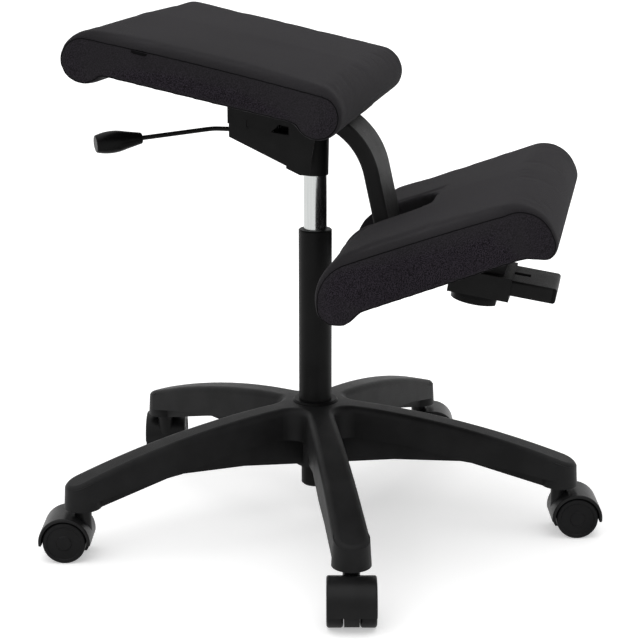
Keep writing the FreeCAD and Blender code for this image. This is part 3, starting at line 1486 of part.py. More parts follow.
doc.recompute()
for item in doc.Objects:
    if "Invalid" in item.State or "Error" in item.State:
        raise RuntimeError("%s failed: %s" % (item.Label, item.getStatusString()))
for piece in nodes:
    if piece.Shape.isNull() or not piece.Shape.isValid():
        raise RuntimeError("%s has no sound shape" % piece.Label)
for piece in nodes:
    piece.Shape.exportStep("parts/%s.step" % piece.Label)
print("%d pieces written" % len(nodes))
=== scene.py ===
import json
import math

import bmesh
import bpy
from mathutils import Matrix, Vector
from mathutils.bvhtree import BVHTree
from mathutils.kdtree import KDTree


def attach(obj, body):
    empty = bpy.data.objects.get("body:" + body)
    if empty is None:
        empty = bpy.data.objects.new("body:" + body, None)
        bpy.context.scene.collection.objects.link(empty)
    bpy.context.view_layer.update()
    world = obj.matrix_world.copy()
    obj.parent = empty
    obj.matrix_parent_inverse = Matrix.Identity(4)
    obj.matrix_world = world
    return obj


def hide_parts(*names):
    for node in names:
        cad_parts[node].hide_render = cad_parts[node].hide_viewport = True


bl_info = {
    "name": "Kneeling chair",
    "version": (1, 0, 0),
    "blender": (4, 5, 0),
    "location": "3D View > Sidebar > Chair",
    "description": "Dresses a kneeling chair with upholstery, finishes and a plain white stage",
    "category": "Object",
}

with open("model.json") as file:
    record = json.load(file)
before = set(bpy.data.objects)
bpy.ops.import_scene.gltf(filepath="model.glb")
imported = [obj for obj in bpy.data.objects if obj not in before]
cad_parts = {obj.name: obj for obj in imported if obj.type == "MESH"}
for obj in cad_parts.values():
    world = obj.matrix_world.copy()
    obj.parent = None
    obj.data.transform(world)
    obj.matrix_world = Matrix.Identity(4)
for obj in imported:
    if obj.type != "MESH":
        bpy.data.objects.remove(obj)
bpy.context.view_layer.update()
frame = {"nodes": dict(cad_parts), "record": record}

# Local frames of the two cushions: origin in metres and turn about X in degrees.
SEAT_ORIGIN = Vector((0.0, -0.0461, 0.5281))
SEAT_TURN = 12.0
KNEE_ORIGIN = Vector((0.0, -0.0729, 0.3284))
KNEE_TURN = -21.13

# Side outlines of the cushions in their local frames: (y, z) starts a line, (y, z, radius) an arc.
SEAT_SIDE = (
    (0.0207, -0.012), (0.239, -0.012, 0.0246), (0.2851, 0.0, 0.0246), (0.2605, 0.0246, 4.0),
    (0.0, 0.0239, 0.0239), (-0.0239, 0.0, 0.0239))
KNEE_SIDE = (
    (-0.2017, -0.0149), (-0.0143, -0.0149), (-0.0083, -0.0185, 0.024), (0.0295, -0.0026, 0.0485),
    (-0.0232, 0.0415, 4.0), (-0.1993, 0.0366, 0.036), (-0.238, 0.0026, 0.034), (-0.238, -0.007, 0.017),
    (-0.2212, -0.024))

# The cloth simulation's frames, and the steps of the seam lines in metres.
LAST_FRAME = 20
OUTLINE_STEP = 0.002
THREAD_STEP = 0.003

# Where a cover is held to what carries it, in metres in its cushion's local frame.
BAR_HALF = 0.046
BAR_ROLL_HEIGHT = -0.016
BAR_ROLL_REACH = 0.03
SEAT_BOARD_TOP = -0.0105
SEAT_BOARD_RANGE = (0.016, 0.244)
SLOT_HALF = 0.053
SLOT_FRONT = -0.1
KNEE_BOARD_TOP = -0.0135
KNEE_BOARD_RANGE = (-0.2, -0.01)

# The painted shade of the cloth in its seam grooves, how far in from the side a side panel reaches, in
# metres, and how squarely its faces look sideways.
SEAM_PAINTED_SHADE = 0.35
PANEL_EDGE = 0.004
PANEL_TURN = 0.75

# Where the seam thread lies: metres in from the side, and how proud of the cover, as a share of its radius.
THREAD_INSET = 0.0008
THREAD_PROUD = 0.2

# The tab on the seat's seam, in metres in the seat's local frame; its section gives (outward, upward) points.
TAB_START = 0.1905
TAB_LENGTH = 0.0175
TAB_HEIGHT = 0.0247
TAB_DROP = 0.85
TAB_ROUNDING = 0.3
TAB_STEPS = 12
TAB_SECTION = (
    (0.0, 0.0), (-0.0007, -0.0003), (-0.0011, -0.0016), (-0.001, -0.0032), (-0.0006, -0.0039),
    (-0.0002, -0.0033), (0.0, -0.0016))

# The camera's place in metres, its directions, and its lens and frame in millimetres.
CAMERA_PLACE = (-1.88564, -0.3826, 0.77391)
CAMERA_LOOK = (0.9463, 0.1891, -0.2621)
CAMERA_RIGHT = (0.19596, -0.98061, 0.0)
CAMERA_LENS = 92.42
CAMERA_FRAME = 36.0

# The floor's side in metres, and each soft light's spread in degrees and direction.
FLOOR_SIDE = 80.0
TOP_LIGHT = (75.0, (0.10, -0.05, -1.0))
SIDE_LIGHT = (40.0, (0.75, -0.75, -0.7))


# Materials


class Nodes:
    """A material's node tree with short calls."""

    def __init__(self, name):
        self.material = bpy.data.materials.new(name)
        self.material.use_nodes = True
        self.tree = self.material.node_tree
        self.shader = self.tree.nodes["Principled BSDF"]
        coordinates = self.tree.nodes.new("ShaderNodeTexCoord")
        self.place = coordinates.outputs["Object"]

    def add(self, kind, **values):
        """A node with constant values on its inputs and properties."""
        node = self.tree.nodes.new(kind)
        for key, value in values.items():
            if key in node.inputs:
                node.inputs[key].default_value = value
            else:
                setattr(node, key, value)
        return node

    def link(self, source, target):
        """Joins an output to an input."""
        self.tree.links.new(source, target)

    def noise(self, scale, detail=3.0, roughness=0.5, stretch=None):
        """Noise over the object's own coordinates; scale is in cycles per metre."""
        node = self.add("ShaderNodeTexNoise", Scale=scale, Detail=detail, Roughness=roughness)
        place = self.place
        if stretch is not None:
            mapping = self.add("ShaderNodeMapping", Scale=stretch)
            self.link(place, mapping.inputs["Vector"])
            place = mapping.outputs["Vector"]
        self.link(place, node.inputs["Vector"])
        return node.outputs["Fac"]

    def ramp(self, source, low, high, start=0.35, end=0.65):
        """Blends two colours by a value."""
        node = self.add("ShaderNodeValToRGB")
        node.color_ramp.elements[0].position = start
        node.color_ramp.elements[0].color = low
        node.color_ramp.elements[1].position = end
        node.color_ramp.elements[1].color = high
        self.link(source, node.inputs["Fac"])
        return node.outputs["Color"]

    def remap(self, source, low, high):
        """Spreads a value from 0..1 to low..high."""
        node = self.add("ShaderNodeMapRange")
        node.inputs["To Min"].default_value = low
        node.inputs["To Max"].default_value = high
        self.link(source, node.inputs["Value"])
        return node.outputs["Result"]

    def maths(self, operation, first, second):
        """A maths node on two values or sockets."""
        node = self.add("ShaderNodeMath", operation=operation)
        for index, value in enumerate((first, second)):
            if isinstance(value, (int, float)):
                node.inputs[index].default_value = value
            else:
                self.link(value, node.inputs[index])
        return node.outputs["Value"]

    def bump(self, height, strength, distance):
        """Raises the surface by a height."""
        node = self.add("ShaderNodeBump", Strength=strength, Distance=distance)
        self.link(height, node.inputs["Height"])
        self.link(node.outputs["Normal"], self.shader.inputs["Normal"])


def plastic(name, dark, light, rough, grain, depth, specular):
    """Moulded or coated black: fine grain, a slow change of tone and worn sheen."""
    nodes = Nodes(name)
    slow = nodes.noise(22.0, detail=4.0)
    nodes.link(nodes.ramp(slow, dark, light), nodes.shader.inputs["Base Color"])
    worn = nodes.noise(60.0, detail=5.0, roughness=0.6)
    nodes.link(nodes.remap(worn, rough[0], rough[1]), nodes.shader.inputs["Roughness"])
    nodes.shader.inputs["Specular IOR Level"].default_value = specular
    nodes.bump(nodes.noise(grain, detail=2.0), 0.6, depth)
    return nodes.material


def metal(name, low, high, rough=(0.08, 0.14), streak=(900.0, 900.0, 14.0)):
    """Bare metal with fine marks drawn along one direction."""
    nodes = Nodes(name)
    marks = nodes.noise(1.0, detail=4.0, roughness=0.6, stretch=streak)
    nodes.link(nodes.ramp(marks, low, high, 0.3, 0.7), nodes.shader.inputs["Base Color"])
    nodes.link(nodes.remap(marks, rough[0], rough[1]), nodes.shader.inputs["Roughness"])
    nodes.shader.inputs["Metallic"].default_value = 1.0
    nodes.bump(marks, 0.15, 0.00003)
    return nodes.material


def plywood(name):
    """Raw board: thin veneers in its edge and a faint grain."""
    nodes = Nodes(name)
    layers = nodes.add("ShaderNodeTexWave", Scale=330.0, Distortion=0.6, bands_direction="Z")
    nodes.link(nodes.place, layers.inputs["Vector"])
    grain = nodes.noise(1.0, detail=6.0, stretch=(18.0, 160.0, 160.0))
    mixed = nodes.maths("ADD", nodes.maths("MULTIPLY", layers.outputs["Fac"], 0.35),
                        nodes.maths("MULTIPLY", grain, 0.65))
    nodes.link(nodes.ramp(mixed, (0.035, 0.026, 0.02, 1), (0.075, 0.056, 0.04, 1), 0.3, 0.7),
               nodes.shader.inputs["Base Color"])
    nodes.shader.inputs["Roughness"].default_value = 0.7
    nodes.bump(grain, 0.3, 0.0002)
    return nodes.material


def fabric(name, dark, light, plain, weave_depth, sheen):
    """Upholstery cloth: crossed yarns, bold flecks on the side panels, smooth on top, and painted shade in
    the seams.
    """
    nodes = Nodes(name)
    waves = []
    for direction in ("X", "DIAGONAL"):
        wave = nodes.add("ShaderNodeTexWave", Scale=190.0, Distortion=1.4, Detail=2.0,
                         bands_direction=direction)
        wave.inputs["Detail Scale"].default_value = 3.0
        nodes.link(nodes.place, wave.inputs["Vector"])
        waves.append(wave.outputs["Fac"])
    yarns = nodes.maths("MAXIMUM", *waves)
    flecks = nodes.noise(950.0, detail=1.0, roughness=0.4)
    slow = nodes.noise(9.0, detail=3.0)
    panel = nodes.add("ShaderNodeAttribute", attribute_name="panel").outputs["Fac"]
    side = nodes.ramp(flecks, dark, light, 0.38, 0.62)
    low = tuple(value * 0.9 for value in plain[:3]) + (1,)
    high = tuple(value * 1.1 for value in plain[:3]) + (1,)
    top = nodes.ramp(flecks, low, high, 0.3, 0.7)
    tone = nodes.add("ShaderNodeMix", data_type="RGBA", blend_type="MIX")
    nodes.link(panel, tone.inputs[0])
    nodes.link(top, tone.inputs[6])
    nodes.link(side, tone.inputs[7])
    faded = nodes.add("ShaderNodeMix", data_type="RGBA", blend_type="MULTIPLY")
    faded.inputs[0].default_value = 1.0
    nodes.link(tone.outputs[2], faded.inputs[6])
    nodes.link(nodes.ramp(slow, (0.92, 0.92, 0.92, 1), (1.06, 1.06, 1.06, 1)), faded.inputs[7])
    # Painted shade in the seam grooves: along the seams the cloth is mixed towards near black.
    seam = nodes.add("ShaderNodeAttribute", attribute_name="seam")
    painted_seam_shade = nodes.add("ShaderNodeMix", data_type="RGBA", blend_type="MIX")
    nodes.link(seam.outputs["Fac"], painted_seam_shade.inputs[0])
    nodes.link(faded.outputs[2], painted_seam_shade.inputs[6])
    painted_seam_shade.inputs[7].default_value = (0.0024, 0.0022, 0.0026, 1)
    nodes.link(painted_seam_shade.outputs[2], nodes.shader.inputs["Base Color"])
    nodes.shader.inputs["Roughness"].default_value = 0.92
    nodes.shader.inputs["Specular IOR Level"].default_value = 0.09
    nodes.shader.inputs["Sheen Weight"].default_value = sheen
    nodes.shader.inputs["Sheen Roughness"].default_value = 0.45
    nodes.shader.inputs["Sheen Tint"].default_value = (0.6, 0.58, 0.62, 1)
    height = nodes.maths("ADD", nodes.maths("MULTIPLY", yarns, 0.5), nodes.maths("MULTIPLY", flecks, 0.9))
    share = nodes.maths("ADD", nodes.maths("MULTIPLY", panel, 0.8), 0.2)
    nodes.bump(nodes.maths("MULTIPLY", height, share), 0.8, weave_depth)
    return nodes.material


# Mesh pieces


def new_piece(name, mesh, body, material, replaced=()):
    """An object of the scene that rides on a body."""
    piece = bpy.data.objects.new(name, mesh)
    bpy.context.scene.collection.objects.link(piece)
    mesh.materials.clear()
    mesh.materials.append(material)
    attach(piece, body)
    if replaced:
        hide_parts(*replaced)
    return piece


def to_local(point, origin, turn):
    """A point in a cushion's own frame."""
    return Matrix.Rotation(math.radians(-turn), 3, "X") @ (point - origin)


def to_world(point, origin, turn):
    """A point of a cushion's own frame back in the row's frame."""
    return Matrix.Rotation(math.radians(turn), 3, "X") @ point + origin


def sweep(start, end, radius, step):
    """Points of the arc from start to end that turns left, without its last point."""
    start, end = Vector(start), Vector(end)
    chord = end - start
    rise = math.sqrt(max(radius ** 2 - (chord.length / 2) ** 2, 0.0))
    left = Vector((-chord.y, chord.x)).normalized()
    centre = start + chord / 2 + left * rise
    first = math.atan2(start.y - centre.y, start.x - centre.x)
    last = math.atan2(end.y - centre.y, end.x - centre.x)
    while last <= first:
        last += 2 * math.pi
    count = max(2, round((last - first) * radius / step))
    return [centre + Vector((math.cos(turn), math.sin(turn))) * radius
            for turn in (first + (last - first) * index / count for index in range(count))]


def trace(corners, step):
    """A closed outline of lines and left-turning arcs as points."""
    points = []
    for index, corner in enumerate(corners):
        following = corners[(index + 1) % len(corners)]
        start, end = Vector(corner[:2]), Vector(following[:2])
        if len(corner) == 3:
            points += sweep(start, end, corner[2], step)
            continue
        count = max(1, round((end - start).length / step))
        points += [start.lerp(end, place / count) for place in range(count)]
    return points


def evaluated(piece):
    """The mesh of an object with its modifiers worked in."""
    graph = bpy.context.evaluated_depsgraph_get()
    return bpy.data.meshes.new_from_object(piece.evaluated_get(graph))


def with_modifier(mesh, kind, **values):
    """A mesh with one modifier applied."""
    holder = bpy.data.objects.new("holder", mesh)
    bpy.context.scene.collection.objects.link(holder)
    modifier = holder.modifiers.new("work", kind)
    for key, value in values.items():
        setattr(modifier, key, value)
    result = evaluated(holder)
    bpy.data.objects.remove(holder)
    return result


def puffed(mesh, still, limit, pressure):
    """A cloth skin let out by air pressure, with the still points pinned and the others capped."""
    rest = [vertex.co.copy() for vertex in mesh.vertices]
    holder = bpy.data.objects.new("holder", mesh)
    bpy.context.scene.collection.objects.link(holder)
    group = holder.vertex_groups.new(name="still")
    group.add([index for index, place in enumerate(rest) if still(place)], 1.0, "REPLACE")
    cloth = holder.modifiers.new("cloth", "CLOTH")
    settings = cloth.settings
    settings.quality = 5
    settings.mass = 0.3
    settings.tension_stiffness = 20.0
    settings.compression_stiffness = 20.0
    settings.shear_stiffness = 8.0
    settings.bending_stiffness = 1.0
    settings.use_pressure = True
    settings.uniform_pressure_force = pressure
    settings.effector_weights.gravity = 0.0
    settings.vertex_group_mass = "still"
    cloth.point_cache.frame_start = 1
    cloth.point_cache.frame_end = LAST_FRAME
    scene = bpy.context.scene
    for moment in range(1, LAST_FRAME + 1):
        scene.frame_set(moment)
    result = evaluated(holder)
    bpy.data.objects.remove(holder)
    scene.frame_set(1)
    for vertex, place in zip(result.vertices, rest):
        move = vertex.co - place
        if move.length > limit:
            vertex.co = place + move.normalized() * limit
    return result


def draw_seams(mesh, reach, side, origin, turn, settings):
    """Draws a cover in along both side seams, and marks the painted shade of its seams and its side panels
    for its cloth.
    """
    outline = trace(side, OUTLINE_STEP)
    seams = KDTree(len(outline) * 2)
    for index, point in enumerate(outline):
        for sign in (-1, 1):
            place = to_world(Vector((sign * reach, point.x, point.y)), origin, turn)
            seams.insert(place, index * 2 + (sign > 0))
    seams.balance()
    shade = mesh.attributes.new("seam", "FLOAT", "POINT")
    panel = mesh.attributes.new("panel", "FLOAT", "POINT")
    moves = []
    for vertex in mesh.vertices:
        distance = seams.find(vertex.co)[2]
        near = math.exp(-(distance / settings.seam_width) ** 2)
        # Painted shade along the seam, strongest on the seam line.
        shade.data[vertex.index].value = SEAM_PAINTED_SHADE * near
        inward = (reach - abs(vertex.co.x)) / PANEL_EDGE
        sideways = 1.0 if abs(vertex.normal.x) > PANEL_TURN else 0.0
        panel.data[vertex.index].value = max(0.0, min(1.0, 1.2 - inward)) * sideways
        moves.append(vertex.normal * (-settings.seam_depth * near))
    for vertex, move in zip(mesh.vertices, moves):
        vertex.co += move


def cushion_mesh(node, origin, turn, side, still, settings):
    """A cushion: the node's form remeshed, let out as cloth, and drawn in along its side seams."""
    mesh = frame["nodes"][node].data.copy()
    mesh.materials.clear()
    mesh = with_modifier(mesh, "REMESH", mode="VOXEL", voxel_size=settings.voxel)
    for vertex in mesh.vertices:
        vertex.co -= vertex.normal * settings.start_smaller

    def held(place):
        return still(to_local(place, origin, turn))

    mesh = puffed(mesh, held, settings.swell_limit, settings.pressure)
    mesh = with_modifier(mesh, "SUBSURF", levels=1, render_levels=1)
    reach = max(abs(vertex.co.x) for vertex in mesh.vertices)
    draw_seams(mesh, reach, side, origin, turn, settings)
    for face in mesh.polygons:
        face.use_smooth = True
    return mesh, reach


def seam_curve(name, mesh, reach, sign, side, origin, turn, body, material, radius):
    """A thin seam that lies on the cushion's edge."""
    skin = BVHTree.FromPolygons([vertex.co for vertex in mesh.vertices],
                                [face.vertices for face in mesh.polygons])
    points = []
    for point in trace(side, THREAD_STEP):
        place = to_world(Vector((sign * (reach - THREAD_INSET), point.x, point.y)), origin, turn)
        hit, normal = skin.find_nearest(place)[:2]
        points.append(hit + normal * (radius * THREAD_PROUD))
    curve = bpy.data.curves.new(name, "CURVE")
    curve.dimensions = "3D"
    curve.bevel_depth = radius
    curve.bevel_resolution = 1
    spline = curve.splines.new("NURBS")
    spline.points.add(len(points) - 1)
    for target, place in zip(spline.points, points):
        target.co = (*place, 1.0)
    spline.order_u = 3
    spline.use_cyclic_u = True
    curve.materials.append(material)
    piece = bpy.data.objects.new(name, curve)
    bpy.context.scene.collection.objects.link(piece)
    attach(piece, body)


def seat_tab(reach, material):
    """A small plain tab of folded tape sewn into the seat's side seam."""
    rows = []
    shape = bmesh.new()
    for index in range(TAB_STEPS + 1):
        share = index / TAB_STEPS
        draw = 1.0 - TAB_ROUNDING * abs(2 * share - 1) ** 6
        along = TAB_START + TAB_LENGTH * share
        row = []
        for out, down in TAB_SECTION:
            place = Vector((-reach + out * draw, along, TAB_HEIGHT + TAB_DROP * down * draw))
            row.append(shape.verts.new(to_world(place, SEAT_ORIGIN, SEAT_TURN)))
        rows.append(row)
    for first, second in zip(rows, rows[1:]):
        for index in range(len(TAB_SECTION)):
            following = (index + 1) % len(TAB_SECTION)
            shape.faces.new((first[index], first[following], second[following], second[index]))
    shape.faces.new(list(reversed(rows[0])))
    shape.faces.new(rows[-1])
    bmesh.ops.recalc_face_normals(shape, faces=shape.faces)
    mesh = bpy.data.meshes.new("seat_tab")
    shape.to_mesh(mesh)
    shape.free()
    new_piece("seat_tab", mesh, "seat_frame", material)


# Settings, shown in the sidebar


def length(name, description, default, most):
    """A length property in metres."""
    return bpy.props.FloatProperty(name=name, description=description, default=default,
                                   min=0.0, max=most, unit="LENGTH", precision=5)


def amount(name, description, default, most):
    """A plain number property."""
    return bpy.props.FloatProperty(name=name, description=description, default=default,
                                   min=0.0, max=most)


def colour(name, description, default):
    """A linear colour property with alpha."""
    return bpy.props.FloatVectorProperty(name=name, description=description, default=(*default, 1.0),
                                         size=4, min=0.0, max=1.0, subtype="COLOR")


class CoverSettings(bpy.types.PropertyGroup):
    """How both cushions are upholstered"""
    voxel: length("Remesh size", "Voxel size of the cover before it is let out", 0.0045, 0.01)
    start_smaller: length("Start smaller by", "How far the cover starts inside its form", 0.0008, 0.01)
    swell_limit: length("Swell limit", "The furthest that a point of the cover may move", 0.0018, 0.02)
    pressure: amount("Air pressure", "Pressure that lets the cover out", 4.0, 20.0)
    seam_depth: length("Seam depth", "How far the cover is drawn in along its seams", 0.0011, 0.01)
    seam_width: length("Seam half width", "Width over which the seam draws in", 0.0026, 0.02)
    seam_radius: length("Seam thread radius", "Radius of the thread in the seams", 0.0005, 0.003)
    side_dark: colour("Side yarn", "Dark yarn of the side panels", (0.0036, 0.0028, 0.004))
    side_light: colour("Side fleck", "Light fleck of the side panels", (0.027, 0.0226, 0.0296))
    top: colour("Top cloth", "Smooth cloth of the top", (0.0196, 0.0184, 0.0202))
    thread_dark: colour("Thread", "Dark tone of the seam thread", (0.002, 0.002, 0.0022))
    thread_light: colour("Thread sheen", "Light tone of the seam thread", (0.0044, 0.0042, 0.0048))


class FinishSettings(bpy.types.PropertyGroup):
    """Dark and light tones of the rigid finishes"""
    base_dark: colour("Base, dark", "Dark tone of the moulded base", (0.007, 0.007, 0.0072))
    base_light: colour("Base, light", "Light tone of the moulded base", (0.012, 0.012, 0.0124))
    trim_dark: colour("Trim, dark", "Dark tone of the mechanism's mouldings", (0.0032, 0.0032, 0.0034))
    trim_light: colour("Trim, light", "Light tone of the mechanism's mouldings", (0.0056, 0.0056, 0.0058))
    hood_dark: colour("Hood, dark", "Dark tone of the caster hoods", (0.0064, 0.0064, 0.0066))
    hood_light: colour("Hood, light", "Light tone of the caster hoods", (0.0112, 0.0112, 0.0116))
    wheel_dark: colour("Wheel, dark", "Dark tone of the wheels", (0.0052, 0.0052, 0.0054))
    wheel_light: colour("Wheel, light", "Light tone of the wheels", (0.0092, 0.0092, 0.0096))
    grip_dark: colour("Grip, dark", "Dark tone of the lever's grip", (0.0024, 0.0024, 0.0026))
    grip_light: colour("Grip, light", "Light tone of the lever's grip", (0.0044, 0.0044, 0.0046))
    frame_dark: colour("Frame, dark", "Dark tone of the painted bar", (0.0064, 0.0064, 0.0064))
    frame_light: colour("Frame, light", "Light tone of the painted bar", (0.0104, 0.0104, 0.0106))
    column_dark: colour("Column, dark", "Dark tone of the column's paint", (0.0044, 0.0044, 0.0044))
    column_light: colour("Column, light", "Light tone of the column's paint", (0.0072, 0.0072, 0.0074))
    rubber_dark: colour("Rubber, dark", "Dark tone of the rubber buffer", (0.012, 0.012, 0.012))
    rubber_light: colour("Rubber, light", "Light tone of the rubber buffer", (0.02, 0.02, 0.02))
    chrome_dark: colour("Chrome, dark", "Dark tone of the gas cylinder", (0.43, 0.442, 0.438))
    chrome_light: colour("Chrome, light", "Light tone of the gas cylinder", (0.51, 0.523, 0.518))
    steel_dark: colour("Steel, dark", "Dark tone of bare steel", (0.32, 0.32, 0.33))
    steel_light: colour("Steel, light", "Light tone of bare steel", (0.46, 0.46, 0.47))


class StageSettings(bpy.types.PropertyGroup):
    """Light and floor"""
    sky: amount("Room light", "Strength of the light from all round", 0.52, 5.0)
    sun: amount("Top light", "Strength of the soft light from above", 1.5, 20.0)
    side: amount("Side light", "Strength of the soft light from the side", 0.3, 20.0)
    floor_glow: amount("Floor glow", "White that the floor shows besides its lit colour", 0.4, 1.0)
    floor_tone: amount("Floor tone", "Grey level of the floor", 0.92, 1.0)


# Finishes of the plain black pieces: roughness range, grain per metre, grain depth, specular level.
PLASTICS = {
    "base": ((0.42, 0.56), 1500.0, 0.0002, 0.102),
    "trim": ((0.35, 0.5), 1800.0, 0.0001, 0.0508),
    "hood": ((0.3, 0.42), 1600.0, 0.0001, 0.116),
    "wheel": ((0.35, 0.5), 1400.0, 0.0001, 0.087),
    "grip": ((0.28, 0.4), 1500.0, 0.0001, 0.0725),
    "frame": ((0.45, 0.6), 2200.0, 0.00025, 0.102),
    "column": ((0.4, 0.52), 2400.0, 0.00012, 0.0725),
    "rubber": ((0.75, 0.9), 900.0, 0.0002, 0.145),
}
SLOT_FINISH = {
    "base_plastic": "base", "trim_plastic": "trim", "hood_plastic": "hood", "wheel_plastic": "wheel",
    "grip_plastic": "grip", "frame_paint": "frame", "lever_steel": "frame", "column_paint": "column",
    "buffer_rubber": "rubber", "cylinder_chrome": "chrome", "race_steel": "steel",
    "board_wood": "wood", "cover_fabric": "cloth",
}


def cloth_material(settings):
    """The cover's cloth, made once."""
    found = bpy.data.materials.get("cover_cloth")
    if found is None:
        found = fabric("cover_cloth", settings.side_dark, settings.side_light, settings.top, 0.0007, 0.02)
    return found


def thread_material(settings):
    """The seams' thread, made once."""
    found = bpy.data.materials.get("seam_thread")
    if found is None:
        found = plastic("seam_thread", settings.thread_dark, settings.thread_light,
                        (0.8, 0.95), 1500.0, 0.0001, 0.05)
    return found


def upholster(name, node, origin, turn, side, still, body, settings):
    """A cushion's cover with its two side seams; gives back half its width."""
    mesh, reach = cushion_mesh(node, origin, turn, side, still, settings)
    piece = new_piece(name + "_cover", mesh, body, cloth_material(settings), (node,))
    for hand, sign in (("left", 1), ("right", -1)):
        seam_curve("%s_seam_%s" % (name, hand), mesh, reach, sign, side, origin, turn, body,
                   thread_material(settings), settings.seam_radius)
    return reach


class CHAIR_OT_finishes(bpy.types.Operator):
    """Gives every rigid piece its finish"""
    bl_idname = "chair.finishes"
    bl_label = "Finishes"

    def execute(self, context):
        tones = context.scene.chair_finish
        made = {name: plastic(name + "_finish", getattr(tones, name + "_dark"),
                              getattr(tones, name + "_light"), *values)
                for name, values in PLASTICS.items()}
        made["chrome"] = metal("chrome_finish", tones.chrome_dark, tones.chrome_light, (0.15, 0.22))
        made["steel"] = metal("steel_finish", tones.steel_dark, tones.steel_light, (0.25, 0.4))
        made["wood"] = plywood("board_wood")
        made["cloth"] = cloth_material(context.scene.chair_cover)
        for part in frame["record"]["subparts"]:
            node = frame["nodes"][part["node"]]
            node.data.materials.clear()
            node.data.materials.append(made[SLOT_FINISH[part["material_slot"]]])
        return {"FINISHED"}


class CHAIR_OT_seat(bpy.types.Operator):
    """Makes the seat cushion with its side seams and tab"""
    bl_idname = "chair.seat"
    bl_label = "Seat cushion"

    def execute(self, context):
        settings = context.scene.chair_cover

        def still(place):
            over_bar = (abs(place.x) < BAR_HALF and place.z < BAR_ROLL_HEIGHT
                        and abs(place.y) < BAR_ROLL_REACH)
            first, last = SEAT_BOARD_RANGE
            return over_bar or (place.z < SEAT_BOARD_TOP and first < place.y < last)

        reach = upholster("seat", "seat_cushion", SEAT_ORIGIN, SEAT_TURN, SEAT_SIDE, still,
                          "seat_frame", settings)
        seat_tab(reach, thread_material(settings))
        return {"FINISHED"}


class CHAIR_OT_knee(bpy.types.Operator):
    """Makes the knee cushion with its slot and side seams"""
    bl_idname = "chair.knee"
    bl_label = "Knee cushion"

    def execute(self, context):
        def still(place):
            in_slot = abs(place.x) < SLOT_HALF and place.y > SLOT_FRONT
            first, last = KNEE_BOARD_RANGE
            return in_slot or (place.z < KNEE_BOARD_TOP and first < place.y < last)

        upholster("knee", "knee_cushion", KNEE_ORIGIN, KNEE_TURN, KNEE_SIDE, still,
                  "knee_carriage", context.scene.chair_cover)
        return {"FINISHED"}


def add_floor(settings):
    """A matt white floor that keeps the shadow and shows white behind it."""
    bpy.ops.mesh.primitive_plane_add(size=FLOOR_SIDE, location=(0, 0, 0))
    floor = bpy.context.object
    floor.name = "floor"
    nodes = Nodes("floor_white")
    nodes.shader.inputs["Base Color"].default_value = (*[settings.floor_tone] * 3, 1)
    nodes.shader.inputs["Roughness"].default_value = 1.0
    nodes.shader.inputs["Specular IOR Level"].default_value = 0.0
    glow = nodes.add("ShaderNodeEmission")
    ray = nodes.add("ShaderNodeLightPath")
    seen = nodes.maths("MAXIMUM", ray.outputs["Is Camera Ray"], ray.outputs["Is Glossy Ray"])
    nodes.link(nodes.maths("MULTIPLY", seen, settings.floor_glow), glow.inputs["Strength"])
    both = nodes.add("ShaderNodeAddShader")
    nodes.link(nodes.shader.outputs["BSDF"], both.inputs[0])
    nodes.link(glow.outputs["Emission"], both.inputs[1])
    surface = next(node for node in nodes.tree.nodes if node.type == "OUTPUT_MATERIAL")
    nodes.link(both.outputs["Shader"], surface.inputs["Surface"])
    floor.data.materials.append(nodes.material)


def add_room(settings):
    """An even light all round that the camera, gloss and glass see as white."""
    world = bpy.data.worlds.new("room")
    bpy.context.scene.world = world
    world.use_nodes = True
    tree = world.node_tree
    tree.nodes.clear()

    def add(kind):
        return tree.nodes.new(kind)

    shades = []
    for strength in (settings.sky, 1.0):
        shade = add("ShaderNodeBackground")
        shade.inputs["Color"].default_value = (1, 1, 1, 1)
        shade.inputs["Strength"].default_value = strength
        shades.append(shade.outputs["Background"])
    path = add("ShaderNodeLightPath")
    seen = path.outputs["Is Camera Ray"]
    for ray in ("Is Glossy Ray", "Is Transmission Ray"):
        either = add("ShaderNodeMath")
        either.operation = "MAXIMUM"
        tree.links.new(seen, either.inputs[0])
        tree.links.new(path.outputs[ray], either.inputs[1])
        seen = either.outputs["Value"]
    mix = add("ShaderNodeMixShader")
    tree.links.new(seen, mix.inputs["Fac"])
    tree.links.new(shades[0], mix.inputs[1])
    tree.links.new(shades[1], mix.inputs[2])
    tree.links.new(mix.outputs["Shader"], add("ShaderNodeOutputWorld").inputs["Surface"])


def add_lamp(name, strength, spread, direction):
    """A soft lamp far away that shines along a direction; its spread is in degrees."""
    lamp = bpy.data.lights.new(name, "SUN")
    lamp.energy = strength
    lamp.angle = math.radians(spread)
    light = bpy.data.objects.new(name, lamp)
    light.rotation_euler = Vector(direction).to_track_quat("-Z", "Y").to_euler()
    bpy.context.scene.collection.objects.link(light)


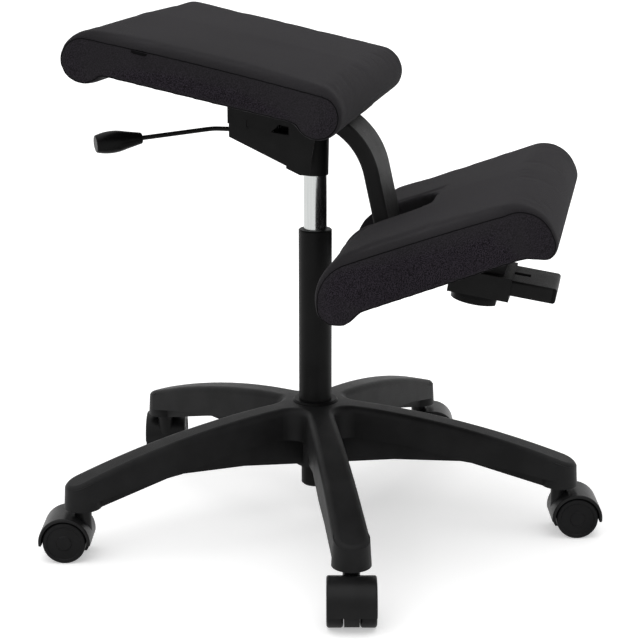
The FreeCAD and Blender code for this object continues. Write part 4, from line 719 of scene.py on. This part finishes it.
def add_camera():
    """The camera at the photograph's viewing angle, with no roll."""
    lens = bpy.data.cameras.new("camera")
    lens.sensor_width = CAMERA_FRAME
    lens.lens = CAMERA_LENS
    lens.clip_end = 200.0
    camera = bpy.data.objects.new("camera", lens)
    look = Vector(CAMERA_LOOK).normalized()
    right = Vector(CAMERA_RIGHT).normalized()
    up = right.cross(look).normalized()
    turn = Matrix((right, up, -look)).transposed().to_4x4()
    camera.matrix_world = Matrix.Translation(CAMERA_PLACE) @ turn
    bpy.context.scene.collection.objects.link(camera)
    bpy.context.scene.camera = camera


class CHAIR_OT_stage(bpy.types.Operator):
    """Sets the white floor, the soft lights and the camera"""
    bl_idname = "chair.stage"
    bl_label = "Stage"

    def execute(self, context):
        settings = context.scene.chair_stage
        add_floor(settings)
        add_room(settings)
        add_lamp("top_light", settings.sun, *TOP_LIGHT)
        add_lamp("side_light", settings.side, *SIDE_LIGHT)
        add_camera()
        context.scene.view_settings.view_transform = "Standard"
        return {"FINISHED"}


GROUPS = (("chair_cover", CoverSettings), ("chair_finish", FinishSettings), ("chair_stage", StageSettings))
OPERATORS = (CHAIR_OT_finishes, CHAIR_OT_seat, CHAIR_OT_knee, CHAIR_OT_stage)


class CHAIR_PT_sidebar(bpy.types.Panel):
    """The chair's panel in the sidebar"""
    bl_label = "Kneeling chair"
    bl_idname = "CHAIR_PT_sidebar"
    bl_space_type = "VIEW_3D"
    bl_region_type = "UI"
    bl_category = "Chair"

    def draw(self, context):
        column = self.layout.column()
        for attribute, group in GROUPS:
            for name in group.__annotations__:
                column.prop(getattr(context.scene, attribute), name)
        for operator in OPERATORS:
            column.operator(operator.bl_idname)


def register():
    """Registers the settings, operators and panel."""
    for item in [group for _, group in GROUPS] + [*OPERATORS, CHAIR_PT_sidebar]:
        bpy.utils.register_class(item)
    for attribute, group in GROUPS:
        setattr(bpy.types.Scene, attribute, bpy.props.PointerProperty(type=group))


def unregister():
    """Takes them out again."""
    for attribute, _ in GROUPS:
        delattr(bpy.types.Scene, attribute)
    for item in [CHAIR_PT_sidebar, *reversed(OPERATORS)] + [group for _, group in GROUPS]:
        bpy.utils.unregister_class(item)


def main():
    """Makes the chair's dressing and its stage."""
    register()
    bpy.ops.chair.finishes()
    bpy.ops.chair.seat()
    bpy.ops.chair.knee()
    bpy.ops.chair.stage()


if __name__ == "__main__":
    main()
